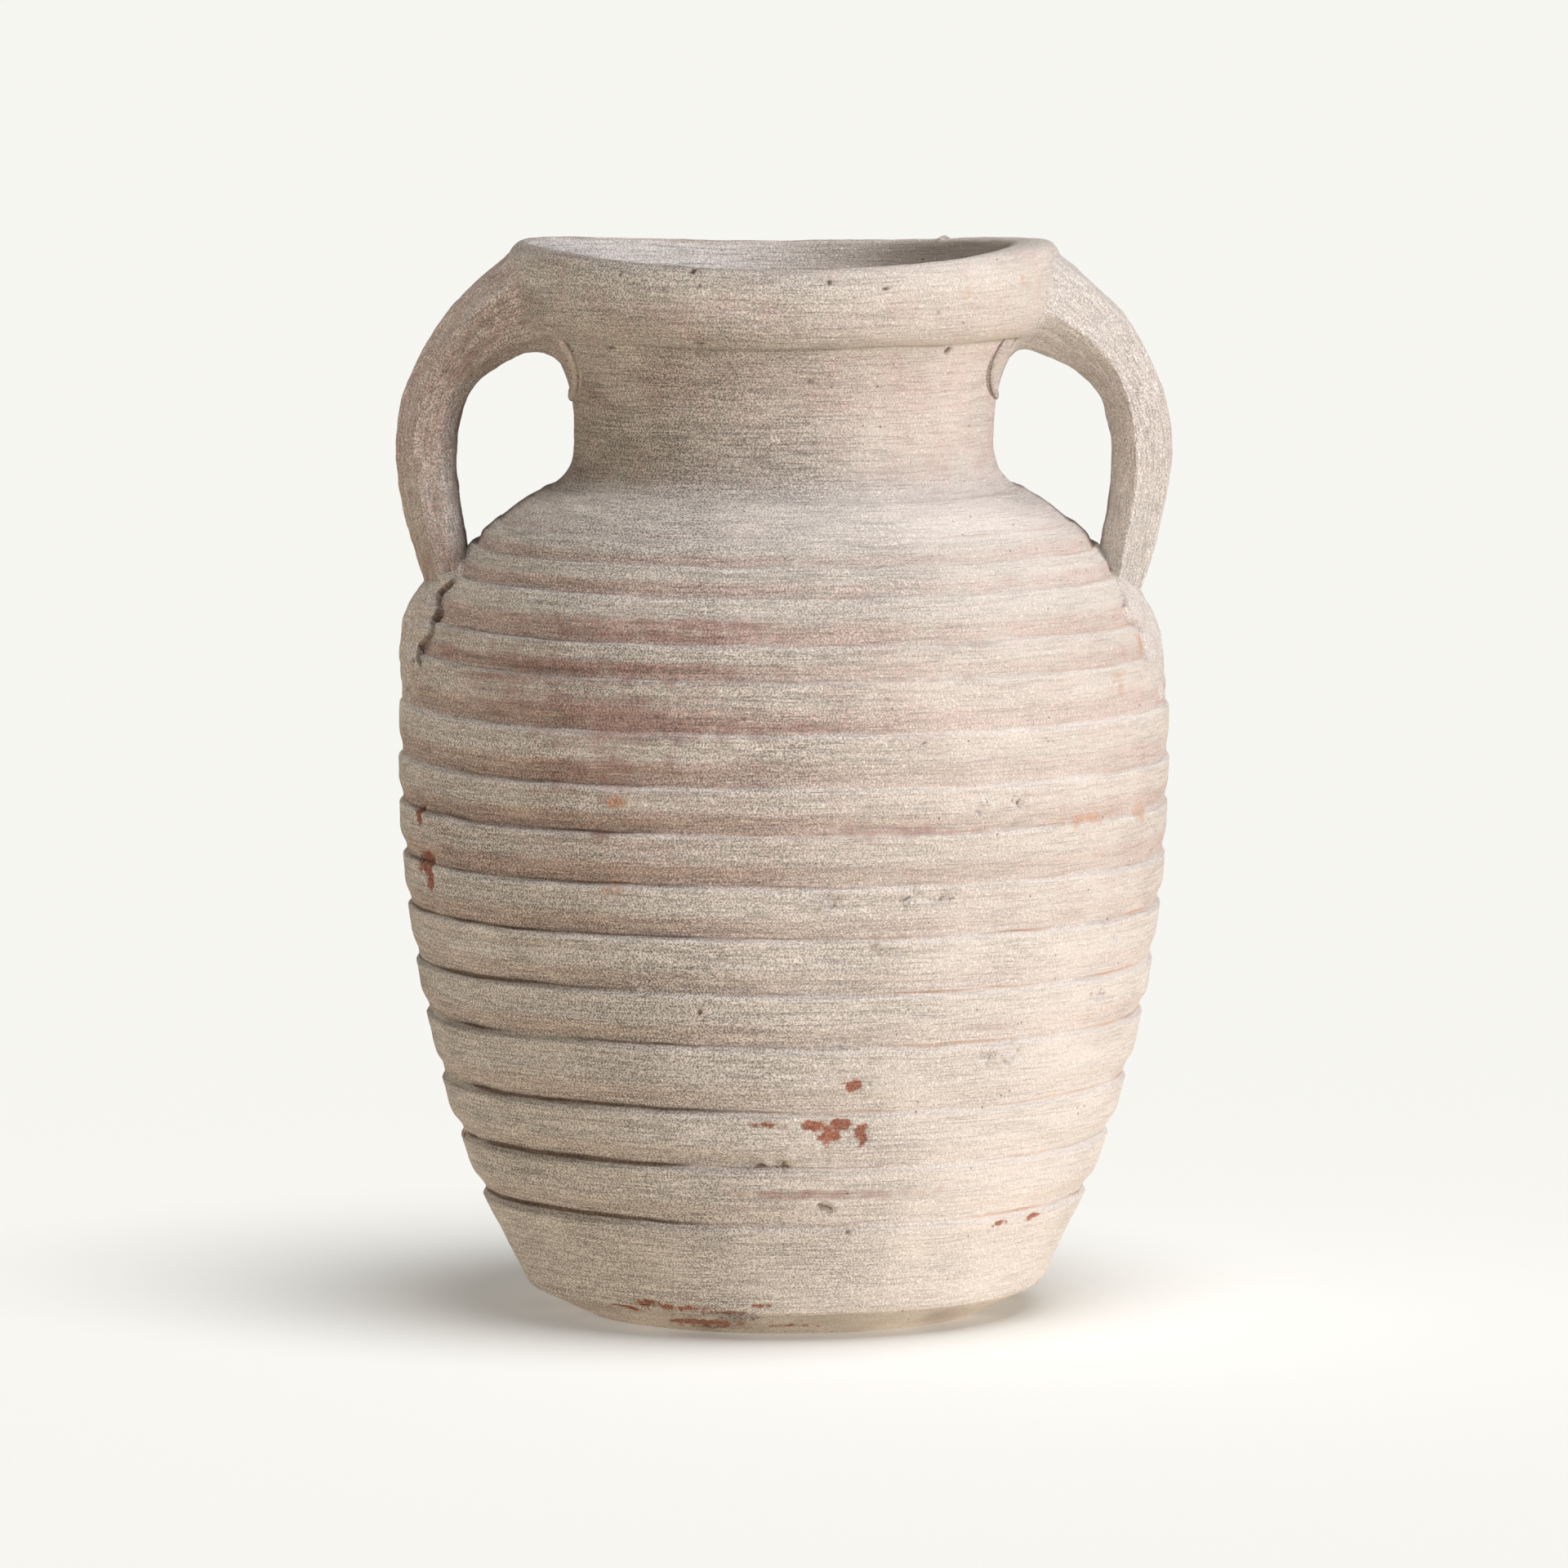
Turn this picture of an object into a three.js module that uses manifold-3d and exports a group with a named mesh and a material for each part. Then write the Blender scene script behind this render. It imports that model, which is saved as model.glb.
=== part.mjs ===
// A two-handled amphora vase in slipped terracotta, made as a potter makes a big one: in sections.
// A floor slab carries four thrown wall sections, a neck and a rolled rim, each seated on the one below
// by a tongue and groove. Two pulled strap handles are set against the rim and the shoulder, with a coil
// pressed under each upper end and a wad smeared over each lower end.
// Units are millimetres and +Z is up. The origin is the middle of the flat that the vase stands on.
// The handles lie along X, and the front faces -Y.
import * as THREE from "three";
import { mergeVertices } from "three/addons/utils/BufferGeometryUtils.js";
import Module from "manifold-3d";

const wasm = await Module();
wasm.setup();

// Floor slab
const bevelRadius = 87.5; // where the knife-cut bevel meets the wall
const bevelWidth = 19.5;
const bevelHeight = 9.2;
const floorThickness = 13;

// Thrown wall
const bellyRadius = 129.8; // without the ribs
const bellyHeight = 195; // height of the widest point
const shoulderHeight = 85; // from the widest point up to the foot of the neck
const wallThickness = 11;
const lowerWallPower = 2.23; // how fast the wall turns upright below the belly
const shoulderPower = 2.2; // how late the shoulder turns in
const shoulderRootPower = 0.77; // how flat it runs into the neck

// Neck
const neckWaistRadius = 71;
const neckHeight = 51;
const neckFootFlare = 7; // how far the neck's foot stands out from its waist
const neckTopFlare = 10;
const neckWaistShare = 0.36; // height of the waist in the neck
const neckFlarePower = 2.4;

// Rolled rim
const rimHeight = 29;
const rimOverhang = 11; // how far the roll stands out from the top of the neck
const lipThickness = 9.5;
// The roll's outline: height as a share of the rim's height, reach as a share of its overhang.
const rimOutlineShares = [
  [0.045, 0.32],
  [0.155, 0.71],
  [0.31, 0.93],
  [0.535, 1.0],
  [0.725, 0.945],
  [0.88, 0.855],
  [0.955, 0.71],
];
// The lip's top, from the outside in: height as before, distance in from the rim as a share of the lip.
const lipOutlineShares = [
  [0.99, 0.42],
  [1.0, 0.6],
  [0.98, 0.8],
  [0.93, 0.95],
  [0.8, 1.0],
];
const throatHeightShare = 0.35; // where the inside widens from the neck to the mouth
const throatReachShare = 0.62;

// Throwing ribs of each section: the height of each rib's edge as a share of the body, from the table to
// the neck's foot. The groove over a section's last rib is the seam to the next section.
const footRibShares = [0.141];
const lowerRibShares = [0.2136, 0.283, 0.3636];
const bellyRibShares = [0.428, 0.4946, 0.5557, 0.618, 0.673, 0.737];
const shoulderRibShares = [0.8, 0.84, 0.895, 0.929, 0.956];
const ribReach = 0.9; // how far a rib's edge stands out from the wall
const ribUndercut = 0.9; // how deep the groove over that edge is
const ledgeRise = 1.6; // from a rib's edge up to the bottom of the groove
const ribSwell = 0.35; // how far the wall swells between two ribs

// Tongue and groove between two sections
const tongueHalfWidth = 2.2;
const tongueDepth = 2.4;
const lutingGap = 0.3; // room for slip between two pieces that don't share a flat face

// Strap handles
const fingerGap = 40.5; // clear width between the neck's waist and the strap
const strapThickness = 20.5;
const strapWidth = 36;
const strapRootThickness = 34;
const strapRootWidth = 58;
const strapEndThickness = 15;
const strapEndWidth = 48;
const strapCornerPower = 3; // exponent of the section's rounded outline
const rootHeightShare = 0.465; // height of the strap's upper end in the rim
const rootBury = 10; // how deep the strap's upper end starts inside the rim
const endHeightShare = 0.58; // height of the strap's lower end in the shoulder
const endBury = 4.6;
const rootPullShare = 1.4; // reach of the curve's upper control point
const endPullShare = 1.02;
const rootPullDropShare = 0.23; // drop of the curve's control points between the strap's two ends
const endPullDropShare = 0.58;
const rootFlareShare = 0.36; // share of the strap over which its upper end spreads
const endFlareShare = 0.6;

// Wads smeared over the straps' lower ends
const wadReach = 4.8; // how far the wad stands out from the wall
const wadBury = 7;
const wadHalfWidth = 40;
const wadHalfHeight = 24;
const wadDrop = 13; // from the strap's lower end down to the wad's middle

// Coils pressed onto the neck round the straps' upper ends
const coilRadius = 4;
const coilBury = 2; // how deep the coil's middle lies in the neck
const coilSpread = 6; // from the strap's side out to the coil's end
const coilRise = 2; // how far the coil's ends climb past the foot of the rim
const coilDrop = 20; // how far its middle hangs below the foot of the rim

// Fineness of the turned and swept surfaces
const turnFacets = 40;
const innerSpacing = 24; // height between two rings of the inside
const neckSteps = 8;
const strapSteps = 20;
const strapSides = 16;
const wadSides = 20;
const wadRings = 12;
const coilSteps = 14;
const coilSides = 8;
const wallSamples = 80;
const slopeStep = 0.01; // for measuring the wall's slope
const cutterOverrun = 40; // how far the cutting shape runs past the lip
const weldDistance = 0.001; // vertices closer than this are one

// Sizes that follow
const bodyHeight = bellyHeight + shoulderHeight;
const neckFootRadius = neckWaistRadius + neckFootFlare;
const neckTopRadius = neckWaistRadius + neckTopFlare;
const neckTopHeight = bodyHeight + neckHeight;
const rimRadius = neckTopRadius + rimOverhang;
const ribShares = [...footRibShares, ...lowerRibShares, ...bellyRibShares, ...shoulderRibShares];
const ribHeights = ribShares.map((share) => share * bodyHeight);
const rootHeight = neckTopHeight + rootHeightShare * rimHeight;
const endHeight = bellyHeight + endHeightShare * shoulderHeight;

// Radius of the smooth wall, without its ribs, at height z of the body.
function wallRadius(z) {
  if (z <= bellyHeight) {
    const left = (bellyHeight - z) / (bellyHeight - bevelHeight);
    return bellyRadius - (bellyRadius - bevelRadius) * left ** lowerWallPower;
  }
  const risen = Math.min((z - bellyHeight) / shoulderHeight, 1);
  const left = (1 - risen ** shoulderPower) ** shoulderRootPower;
  return neckFootRadius + (bellyRadius - neckFootRadius) * left;
}

// Radius of the neck's outside at height z.
function neckRadius(z) {
  const risen = (z - bodyHeight) / neckHeight;
  if (risen < neckWaistShare) {
    const away = (neckWaistShare - risen) / neckWaistShare;
    return neckWaistRadius + neckFootFlare * away ** neckFlarePower;
  }
  const away = (risen - neckWaistShare) / (1 - neckWaistShare);
  return neckWaistRadius + neckTopFlare * away ** neckFlarePower;
}

// The inside of the wall, as points of rising height that lie one wall's thickness in from the outside.
function innerWallPoints() {
  const points = [];
  for (let i = 0; i < wallSamples; i += 1) {
    const z = bevelHeight + ((bodyHeight - bevelHeight) * i) / wallSamples;
    const rise = new THREE.Vector2(wallRadius(z + slopeStep) - wallRadius(z), slopeStep).normalize();
    points.push([wallRadius(z) - rise.y * wallThickness, z + rise.x * wallThickness]);
  }
  points.push([neckFootRadius - wallThickness, bodyHeight]);
  return points;
}

const innerWall = innerWallPoints();

// Radius of the cavity at height z of the body, read between the points of the inner wall.
function innerRadius(z) {
  const above = innerWall.findIndex((point) => point[1] >= z);
  if (above <= 0) return innerWall.at(above)[0];
  const [lowRadius, lowZ] = innerWall[above - 1];
  const [highRadius, highZ] = innerWall[above];
  return lowRadius + ((highRadius - lowRadius) * (z - lowZ)) / (highZ - lowZ);
}

// The outline over the ribs between two heights, upwards: an edge, the groove over it, a swell.
function ribbedOutline(from, to) {
  const points = [];
  ribHeights.forEach((edge, index) => {
    const groove = edge + ledgeRise;
    const next = index + 1 < ribHeights.length ? ribHeights[index + 1] : bodyHeight;
    const swell = (groove + next) / 2;
    points.push([wallRadius(edge) + ribReach, edge]);
    points.push([wallRadius(groove) - ribUndercut, groove]);
    points.push([wallRadius(swell) + ribSwell, swell]);
  });
  return points.filter((point) => point[1] > from && point[1] < to);
}

// Inside points of the wall between two heights, downwards.
function innerOutline(from, to) {
  const count = Math.max(1, Math.round((to - from) / innerSpacing));
  const points = [];
  for (let i = count - 1; i > 0; i -= 1) {
    const z = from + ((to - from) * i) / count;
    points.push([innerRadius(z), z]);
  }
  return points;
}

// The groove that a section's top face carries, from the outside in.
function grooveOutline(outer, inner, z) {
  const middle = (outer + inner) / 2;
  const slant = Math.hypot(tongueHalfWidth, tongueDepth);
  const halfWidth = tongueHalfWidth + (lutingGap * slant) / tongueDepth;
  const depth = tongueDepth + (lutingGap * slant) / tongueHalfWidth;
  return [
    [middle + halfWidth, z],
    [middle, z - depth],
    [middle - halfWidth, z],
  ];
}

// The tongue under the next section, from the inside out.
function tongueOutline(outer, inner, z) {
  const middle = (outer + inner) / 2;
  return [
    [middle - tongueHalfWidth, z],
    [middle, z - tongueDepth],
    [middle + tongueHalfWidth, z],
  ];
}

// A closed three.js geometry as a solid: only its positions, welded, without faces that have no area.
function solidOf(geometry) {
  const bare = geometry.clone();
  bare.deleteAttribute("normal");
  bare.deleteAttribute("uv");
  const welded = mergeVertices(bare, weldDistance);
  const corners = [];
  const index = welded.index.array;
  for (let i = 0; i < index.length; i += 3) {
    const [a, b, c] = index.slice(i, i + 3);
    if (a !== b && b !== c && c !== a) corners.push(a, b, c);
  }
  return new wasm.Manifold(
    new wasm.Mesh({
      numProp: 3,
      vertProperties: new Float32Array(welded.attributes.position.array),
      triVerts: new Uint32Array(corners),
    }),
  );
}

// A solid turned round +Z from an outline of [radius, height] points, up the outside and down the inside.
function turned(outline) {
  const points = outline.map(([radius, z]) => new THREE.Vector2(radius, z));
  const geometry = new THREE.LatheGeometry(points, turnFacets);
  geometry.rotateX(Math.PI / 2);
  return solidOf(geometry);
}

// A thrown section: its outside from the bottom up, and its inside from the top down.
function section(outside, inside, grooved) {
  const [lowOuter, lowZ] = outside[0];
  const [highOuter, highZ] = outside.at(-1);
  const [highInner] = inside[0];
  const [lowInner] = inside.at(-1);
  const top = grooved ? grooveOutline(highOuter, highInner, highZ) : [];
  const bottom = tongueOutline(lowOuter, lowInner, lowZ);
  return turned([...outside, ...top, ...inside, ...bottom, outside[0]]);
}

// The outer radius and the height of the seam over the last of a section's ribs.
function seamOver(sectionRibShares) {
  const z = sectionRibShares.at(-1) * bodyHeight + ledgeRise;
  return [wallRadius(z) - ribUndercut, z];
}

const floorSeam = [wallRadius(floorThickness), floorThickness];
const footSeam = seamOver(footRibShares);
const bellySeam = seamOver(lowerRibShares);
const shoulderSeam = seamOver(bellyRibShares);
const neckSeam = [neckFootRadius, bodyHeight];
const rimSeam = [neckTopRadius, neckTopHeight];

// The floor slab: a disc with a knife-cut bevel, and the first groove in its top.
function floorSlab() {
  const [outer, z] = floorSeam;
  const axis = 0;
  return turned([
    [axis, 0],
    [bevelRadius - bevelWidth, 0],
    [bevelRadius, bevelHeight],
    floorSeam,
    ...grooveOutline(outer, innerRadius(z), z),
    [axis, z],
  ]);
}

// A section of the body's wall between two seams.
function wallSection(low, high) {
  const outside = [low, ...ribbedOutline(low[1], high[1]), high];
  const inside = [
    [innerRadius(high[1]), high[1]],
    ...innerOutline(low[1], high[1]),
    [innerRadius(low[1]), low[1]],
  ];
  return section(outside, inside, true);
}

function neckOutline() {
  const points = [];
  for (let step = 0; step <= neckSteps; step += 1) {
    const z = bodyHeight + (neckHeight * step) / neckSteps;
    points.push([neckRadius(z), z]);
  }
  return points;
}

function neckSection() {
  const outside = neckOutline();
  const inside = outside.map(([radius, z]) => [radius - wallThickness, z]).reverse();
  return section(outside, inside, true);
}

function rimOutline() {
  return rimOutlineShares.map(([heightShare, reachShare]) => [
    neckTopRadius + reachShare * rimOverhang,
    neckTopHeight + heightShare * rimHeight,
  ]);
}

function rimSection() {
  const lip = lipOutlineShares.map(([heightShare, depthShare]) => [
    rimRadius - depthShare * lipThickness,
    neckTopHeight + heightShare * rimHeight,
  ]);
  const outside = [rimSeam, ...rimOutline(), lip[0]];
  const seamInner = neckTopRadius - wallThickness;
  const mouthRadius = rimRadius - lipThickness;
  const throatRadius = seamInner + throatReachShare * (mouthRadius - seamInner);
  const inside = [
    ...lip.slice(1),
    [throatRadius, neckTopHeight + throatHeightShare * rimHeight],
    [seamInner, neckTopHeight],
  ];
  return section(outside, inside, false);
}

// The whole vessel as one filled solid, swollen by a gap: what the handles, wads and coils are cut with.
function vesselCutter(gap) {
  const lip = rimOutlineShares.at(-1);
  const outline = [
    [bevelRadius, bevelHeight],
    ...ribbedOutline(floorThickness, bodyHeight),
    ...neckOutline(),
    ...rimOutline(),
    [neckTopRadius + lip[1] * rimOverhang, neckTopHeight + rimHeight + cutterOverrun],
  ].map(([radius, z]) => [radius + gap, z]);
  const axis = 0;
  return turned([[axis, bevelHeight], ...outline, [axis, outline.at(-1)[1]]]);
}

// A closed skin over rings of points that turn to the right as seen along their row, capped at both ends.
function skin(rings) {
  const sides = rings[0].length;
  const centre = (ring) => ring.reduce((sum, p) => sum.add(p), new THREE.Vector3()).divideScalar(sides);
  const points = [...rings.flat(), centre(rings[0]), centre(rings.at(-1))];
  const firstCap = points.length - 2;
  const lastCap = points.length - 1;
  const lastRing = (rings.length - 1) * sides;
  const index = [];
  for (let side = 0; side < sides; side += 1) {
    const next = (side + 1) % sides;
    for (let ring = 0; ring + 1 < rings.length; ring += 1) {
      const here = ring * sides;
      const there = here + sides;
      index.push(here + side, here + next, there + side);
      index.push(there + side, here + next, there + next);
    }
    index.push(firstCap, next, side);
    index.push(lastCap, lastRing + side, lastRing + next);
  }
  return solidOf(new THREE.BufferGeometry().setFromPoints(points).setIndex(index));
}

// A rounded outline in the plane of two directions, turning from the first to the second.
function ringAround(centre, first, second, halves, cornerPower, sides) {
  const rounded = (value) => Math.sign(value) * Math.abs(value) ** (2 / cornerPower);
  return Array.from({ length: sides }, (_, side) => {
    const angle = (2 * Math.PI * side) / sides;
    return centre
      .clone()
      .addScaledVector(first, halves[0] * rounded(Math.cos(angle)))
      .addScaledVector(second, halves[1] * rounded(Math.sin(angle)));
  });
}

// The strap's centre line, from inside the rim out and down into the shoulder, in the XZ plane.
function strapPath() {
  const reach = neckWaistRadius + fingerGap + strapThickness / 2;
  const pulledTo = (share) => rimRadius + share * (reach - rimRadius);
  const droppedTo = (share) => rootHeight + share * (endHeight - rootHeight);
  return new THREE.CubicBezierCurve3(
    new THREE.Vector3(rimRadius - rootBury, 0, rootHeight),
    new THREE.Vector3(pulledTo(rootPullShare), 0, droppedTo(rootPullDropShare)),
    new THREE.Vector3(pulledTo(endPullShare), 0, droppedTo(endPullDropShare)),
    new THREE.Vector3(wallRadius(endHeight) - endBury, 0, endHeight),
  );
}

// A size along the strap at share t of its length: its own at both ends, and the strap's between them.
function alongStrap(t, root, middle, end) {
  const fromRoot = Math.max(0, 1 - t / rootFlareShare);
  const fromEnd = Math.max(0, 1 - (1 - t) / endFlareShare);
  return middle + (root - middle) * fromRoot ** 2 + (end - middle) * fromEnd ** 2;
}

// A strap handle on the +X side, before it is cut to the vessel. It can be swollen by a gap.
function strapBlank(gap) {
  const path = strapPath();
  const acrossStrap = new THREE.Vector3(0, 1, 0);
  const rings = [];
  for (let step = 0; step <= strapSteps; step += 1) {
    const t = step / strapSteps;
    const centre = path.getPoint(t);
    const along = path.getTangent(t);
    const outwards = new THREE.Vector3(-along.z, 0, along.x);
    const halfThickness = alongStrap(t, strapRootThickness, strapThickness, strapEndThickness) / 2 + gap;
    const halfWidth = alongStrap(t, strapRootWidth, strapWidth, strapEndWidth) / 2 + gap;
    const halves = [halfWidth, halfThickness];
    rings.push(ringAround(centre, acrossStrap, outwards, halves, strapCornerPower, strapSides));
  }
  return skin(rings);
}

// The wad over the strap's lower end: a flattened ball that leans as the wall does.
function wadBlank() {
  const middleHeight = endHeight - wadDrop;
  const widening = wallRadius(middleHeight + slopeStep) - wallRadius(middleHeight);
  const geometry = new THREE.SphereGeometry(1, wadSides, wadRings);
  geometry.scale(wadReach + wadBury, wadHalfWidth, wadHalfHeight);
  geometry.rotateY(Math.atan2(widening, slopeStep));
  geometry.translate(wallRadius(middleHeight) - wadBury, 0, middleHeight);
  return solidOf(geometry);
}

// The coil round the strap's upper end: it hangs on the neck, and its ends tuck in under the rim.
function coilBlank() {
  const halfSpan = strapRootWidth / 2 + coilSpread;
  const points = [];
  for (let step = 0; step <= coilSteps; step += 1) {
    const turn = Math.PI * (step / coilSteps - 0.5);
    const y = halfSpan * Math.sin(turn);
    const z = neckTopHeight + coilRise - (coilRise + coilDrop) * Math.cos(turn);
    const radius = neckRadius(z) - coilBury;
    points.push(new THREE.Vector3(Math.sqrt(radius ** 2 - y ** 2), y, z));
  }
  const path = new THREE.CatmullRomCurve3(points);
  const roundPower = 2;
  const rings = points.map((centre, step) => {
    const along = path.getTangent(step / coilSteps);
    const out = new THREE.Vector3(centre.x, centre.y, 0);
    out.addScaledVector(along, -out.dot(along)).normalize();
    const up = out.clone().cross(along);
    return ringAround(centre, up, out, [coilRadius, coilRadius], roundPower, coilSides);
  });
  return skin(rings);
}

// The largest body that a cut leaves: crumbs at a thin edge are wiped off, as they are in clay.
function largest(solid) {
  return solid.decompose().reduce((most, body) => (body.volume() > most.volume() ? body : most));
}

// A solid as a three.js geometry.
function geometryOf(solid) {
  const mesh = solid.getMesh();
  const position = new Float32Array(mesh.numVert * 3);
  for (let i = 0; i < mesh.numVert; i += 1) {
    position.set(mesh.vertProperties.subarray(i * mesh.numProp, i * mesh.numProp + 3), i * 3);
  }
  const geometry = new THREE.BufferGeometry()
    .setAttribute("position", new THREE.BufferAttribute(position, 3))
    .setIndex(new THREE.BufferAttribute(mesh.triVerts, 1))
    .toNonIndexed();
  geometry.computeVertexNormals();
  return geometry;
}

// Fired terracotta under a thin, dry coat of pale slip.
function slippedClay(color) {
  return new THREE.MeshStandardMaterial({ color, roughness: 0.95, metalness: 0 });
}

const vase = new THREE.Group();

function addPiece(name, solid, color, parent = vase) {
  const mesh = new THREE.Mesh(geometryOf(solid), slippedClay(color));
  mesh.name = name;
  parent.add(mesh);
}

// Both handles with their wads and coils, the left set turned half round from the right one.
function addHandles() {
  const cutter = vesselCutter(lutingGap);
  const strap = largest(strapBlank(0).subtract(cutter));
  const strapRoom = strapBlank(lutingGap);
  const wad = largest(wadBlank().subtract(cutter).subtract(strapRoom));
  const coil = largest(coilBlank().subtract(cutter).subtract(strapRoom));
  for (const [side, turn] of [["right", 0], ["left", Math.PI]]) {
    const set = new THREE.Group();
    set.rotation.z = turn;
    addPiece(`${side}_handle`, strap, 0xcdbdb0, set);
    addPiece(`${side}_handle_wad`, wad, 0xcbbaac, set);
    addPiece(`${side}_handle_coil`, coil, 0xc6b5a5, set);
    vase.add(set);
  }
}

addPiece("floor_slab", floorSlab(), 0xcdbb9e);
addPiece("foot_section", wallSection(floorSeam, footSeam), 0xd2c6b6);
addPiece("lower_section", wallSection(footSeam, bellySeam), 0xd1c4b5);
addPiece("belly_section", wallSection(bellySeam, shoulderSeam), 0xccbcae);
addPiece("shoulder_section", wallSection(shoulderSeam, neckSeam), 0xd0c2b5);
addPiece("neck_section", neckSection(), 0xd0bfb0);
addPiece("rolled_rim", rimSection(), 0xd3c5b9);
addHandles();

export default vase;
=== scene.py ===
import math

import bpy
import numpy as np
from bpy.props import FloatProperty, FloatVectorProperty, IntProperty, PointerProperty
from bpy.types import Operator, Panel, PropertyGroup
from mathutils import Euler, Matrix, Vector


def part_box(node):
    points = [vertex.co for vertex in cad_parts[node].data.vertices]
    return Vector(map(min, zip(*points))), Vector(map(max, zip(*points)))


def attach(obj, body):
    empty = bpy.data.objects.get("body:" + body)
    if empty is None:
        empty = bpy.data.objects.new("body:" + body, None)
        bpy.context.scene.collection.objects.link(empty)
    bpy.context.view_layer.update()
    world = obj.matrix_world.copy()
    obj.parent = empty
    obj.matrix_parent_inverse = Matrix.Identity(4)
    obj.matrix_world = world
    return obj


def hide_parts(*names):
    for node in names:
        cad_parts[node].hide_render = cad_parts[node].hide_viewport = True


bl_info = {
    "name": "Slipped Amphora Vase",
    "version": (1, 0, 0),
    "blender": (4, 5, 0),
    "location": "View3D > Sidebar > Vase",
    "description": "Builds a thrown, slipped vase with pulled handles around its packed model",
    "category": "Add Mesh",
}

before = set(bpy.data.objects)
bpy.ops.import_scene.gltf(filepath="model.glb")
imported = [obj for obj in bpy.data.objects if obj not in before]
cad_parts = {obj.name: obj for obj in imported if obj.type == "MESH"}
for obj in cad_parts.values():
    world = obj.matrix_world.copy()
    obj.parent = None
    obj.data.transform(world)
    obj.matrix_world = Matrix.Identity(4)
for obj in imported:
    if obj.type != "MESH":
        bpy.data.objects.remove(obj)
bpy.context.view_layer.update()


def top_of(node):
    """Height of a node's highest point."""
    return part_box(node)[1].z


# Heights of the seams between the thrown pieces, from the frame
FLOOR_SEAM = top_of("floor_slab")
FOOT_SEAM = top_of("foot_section")
LOWER_SEAM = top_of("lower_section")
BELLY_SEAM = top_of("belly_section")
NECK_SEAM = top_of("shoulder_section")
RIM_SEAM = top_of("neck_section")
RIM_TOP = top_of("rolled_rim")

# Wall
STAND_RADIUS = 0.068
BEVEL_RADIUS = 0.0875
BEVEL_HEIGHT = 0.0092
BELLY_RADIUS = 0.1298
BELLY_HEIGHT = 0.195
SHOULDER_HEIGHT = NECK_SEAM - BELLY_HEIGHT
WALL_THICKNESS = 0.011
LOWER_WALL_POWER = 2.23
SHOULDER_POWER = 2.2
SHOULDER_ROOT_POWER = 0.77

# Neck
NECK_WAIST_RADIUS = 0.071
NECK_HEIGHT = RIM_SEAM - NECK_SEAM
NECK_FOOT_FLARE = 0.007
NECK_TOP_FLARE = 0.010
NECK_WAIST_SHARE = 0.36
NECK_FLARE_POWER = 2.4
NECK_FOOT_POWER = 3.4
NECK_FOOT_RADIUS = NECK_WAIST_RADIUS + NECK_FOOT_FLARE
NECK_TOP_RADIUS = NECK_WAIST_RADIUS + NECK_TOP_FLARE

# Rolled rim: height as a share of the rim's height, reach as a share of its overhang
RIM_HEIGHT = RIM_TOP - RIM_SEAM
RIM_OVERHANG = 0.011
RIM_RADIUS = NECK_TOP_RADIUS + RIM_OVERHANG
LIP_THICKNESS = 0.0095
RIM_OUTLINE_SHARES = (
    (0.03, 0.26), (0.09, 0.55), (0.18, 0.80), (0.31, 0.96), (0.45, 1.02), (0.58, 1.01),
    (0.72, 0.955), (0.84, 0.885), (0.93, 0.76), (0.985, 0.58), (1.0, 0.38), (0.985, 0.20), (0.93, 0.1),
)
THROAT_OUTLINE_SHARES = ((0.8, 0.0), (0.55, 0.22), (0.35, 0.42), (0.15, 0.75), (0.0, 1.0))

# The handles lift and swell the rim at the sides, and it dips a little at the front and back
RIM_SIDE_RISE = 0.0048
RIM_FRONT_DROP = 0.0010
RIM_SIDE_SWELL = 0.0026
LIP_THICKENING = 0.0090

# Throwing ribs: height of each edge as a share of the body's height, its crispness and its depth
RIB_SHARES = (
    (0.141, 1.0, 1.2), (0.2136, 1.0, 1.1), (0.283, 1.0, 1.1), (0.3636, 0.95, 1.05), (0.428, 0.9, 1.0),
    (0.4946, 0.9, 1.0), (0.5557, 0.85, 0.95), (0.618, 0.8, 1.0), (0.673, 0.75, 1.05), (0.737, 0.75, 1.1),
    (0.8, 0.75, 1.05), (0.84, 0.8, 0.95), (0.895, 0.7, 0.9), (0.929, 0.6, 0.7), (0.956, 0.5, 0.5),
)
# A crisp band between two edges, as shares of the way up and of the rib's depth
CRISP_BAND_SHARES = (
    (0.0, 0.0), (0.03, -0.35), (0.05, -0.8), (0.085, -1.0), (0.15, -0.92), (0.22, -0.76), (0.29, -0.5),
    (0.36, -0.16), (0.42, 0.06), (0.5, 0.17), (0.6, 0.17), (0.68, 0.06), (0.8, 0.0), (1.0, 0.0),
)
# Where the rows lie between two edges
ROW_SHARES = (0.0, 0.018, 0.038, 0.06, 0.085, 0.12, 0.165)

# How strong the ribs and how coarse the sand are round the wall: degrees from the front, then both shares
TURN_SHARES = (
    (-180, 1.0, 1.0), (-120, 1.0, 1.2), (-90, 1.0, 1.8), (-60, 1.45, 2.0), (-38, 1.65, 1.9), (-15, 1.2, 1.9),
    (5, 0.75, 1.4), (25, 0.6, 0.75), (50, 0.7, 0.5), (90, 1.0, 0.6), (140, 1.0, 1.0), (180, 1.0, 1.0),
)

# How pink the slip is, by height as a share of the vase's
BLUSH_SHARES = (
    (0.0, 0.55), (0.028, 0.4), (0.04, 0.12), (0.1, 0.12), (0.22, 0.2), (0.36, 0.3), (0.48, 0.5),
    (0.58, 0.62), (0.65, 0.5), (0.71, 0.3), (0.755, 0.15), (0.775, 0.25), (0.79, 0.7),
    (0.88, 0.85), (0.93, 0.6), (1.0, 0.5),
)

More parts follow.
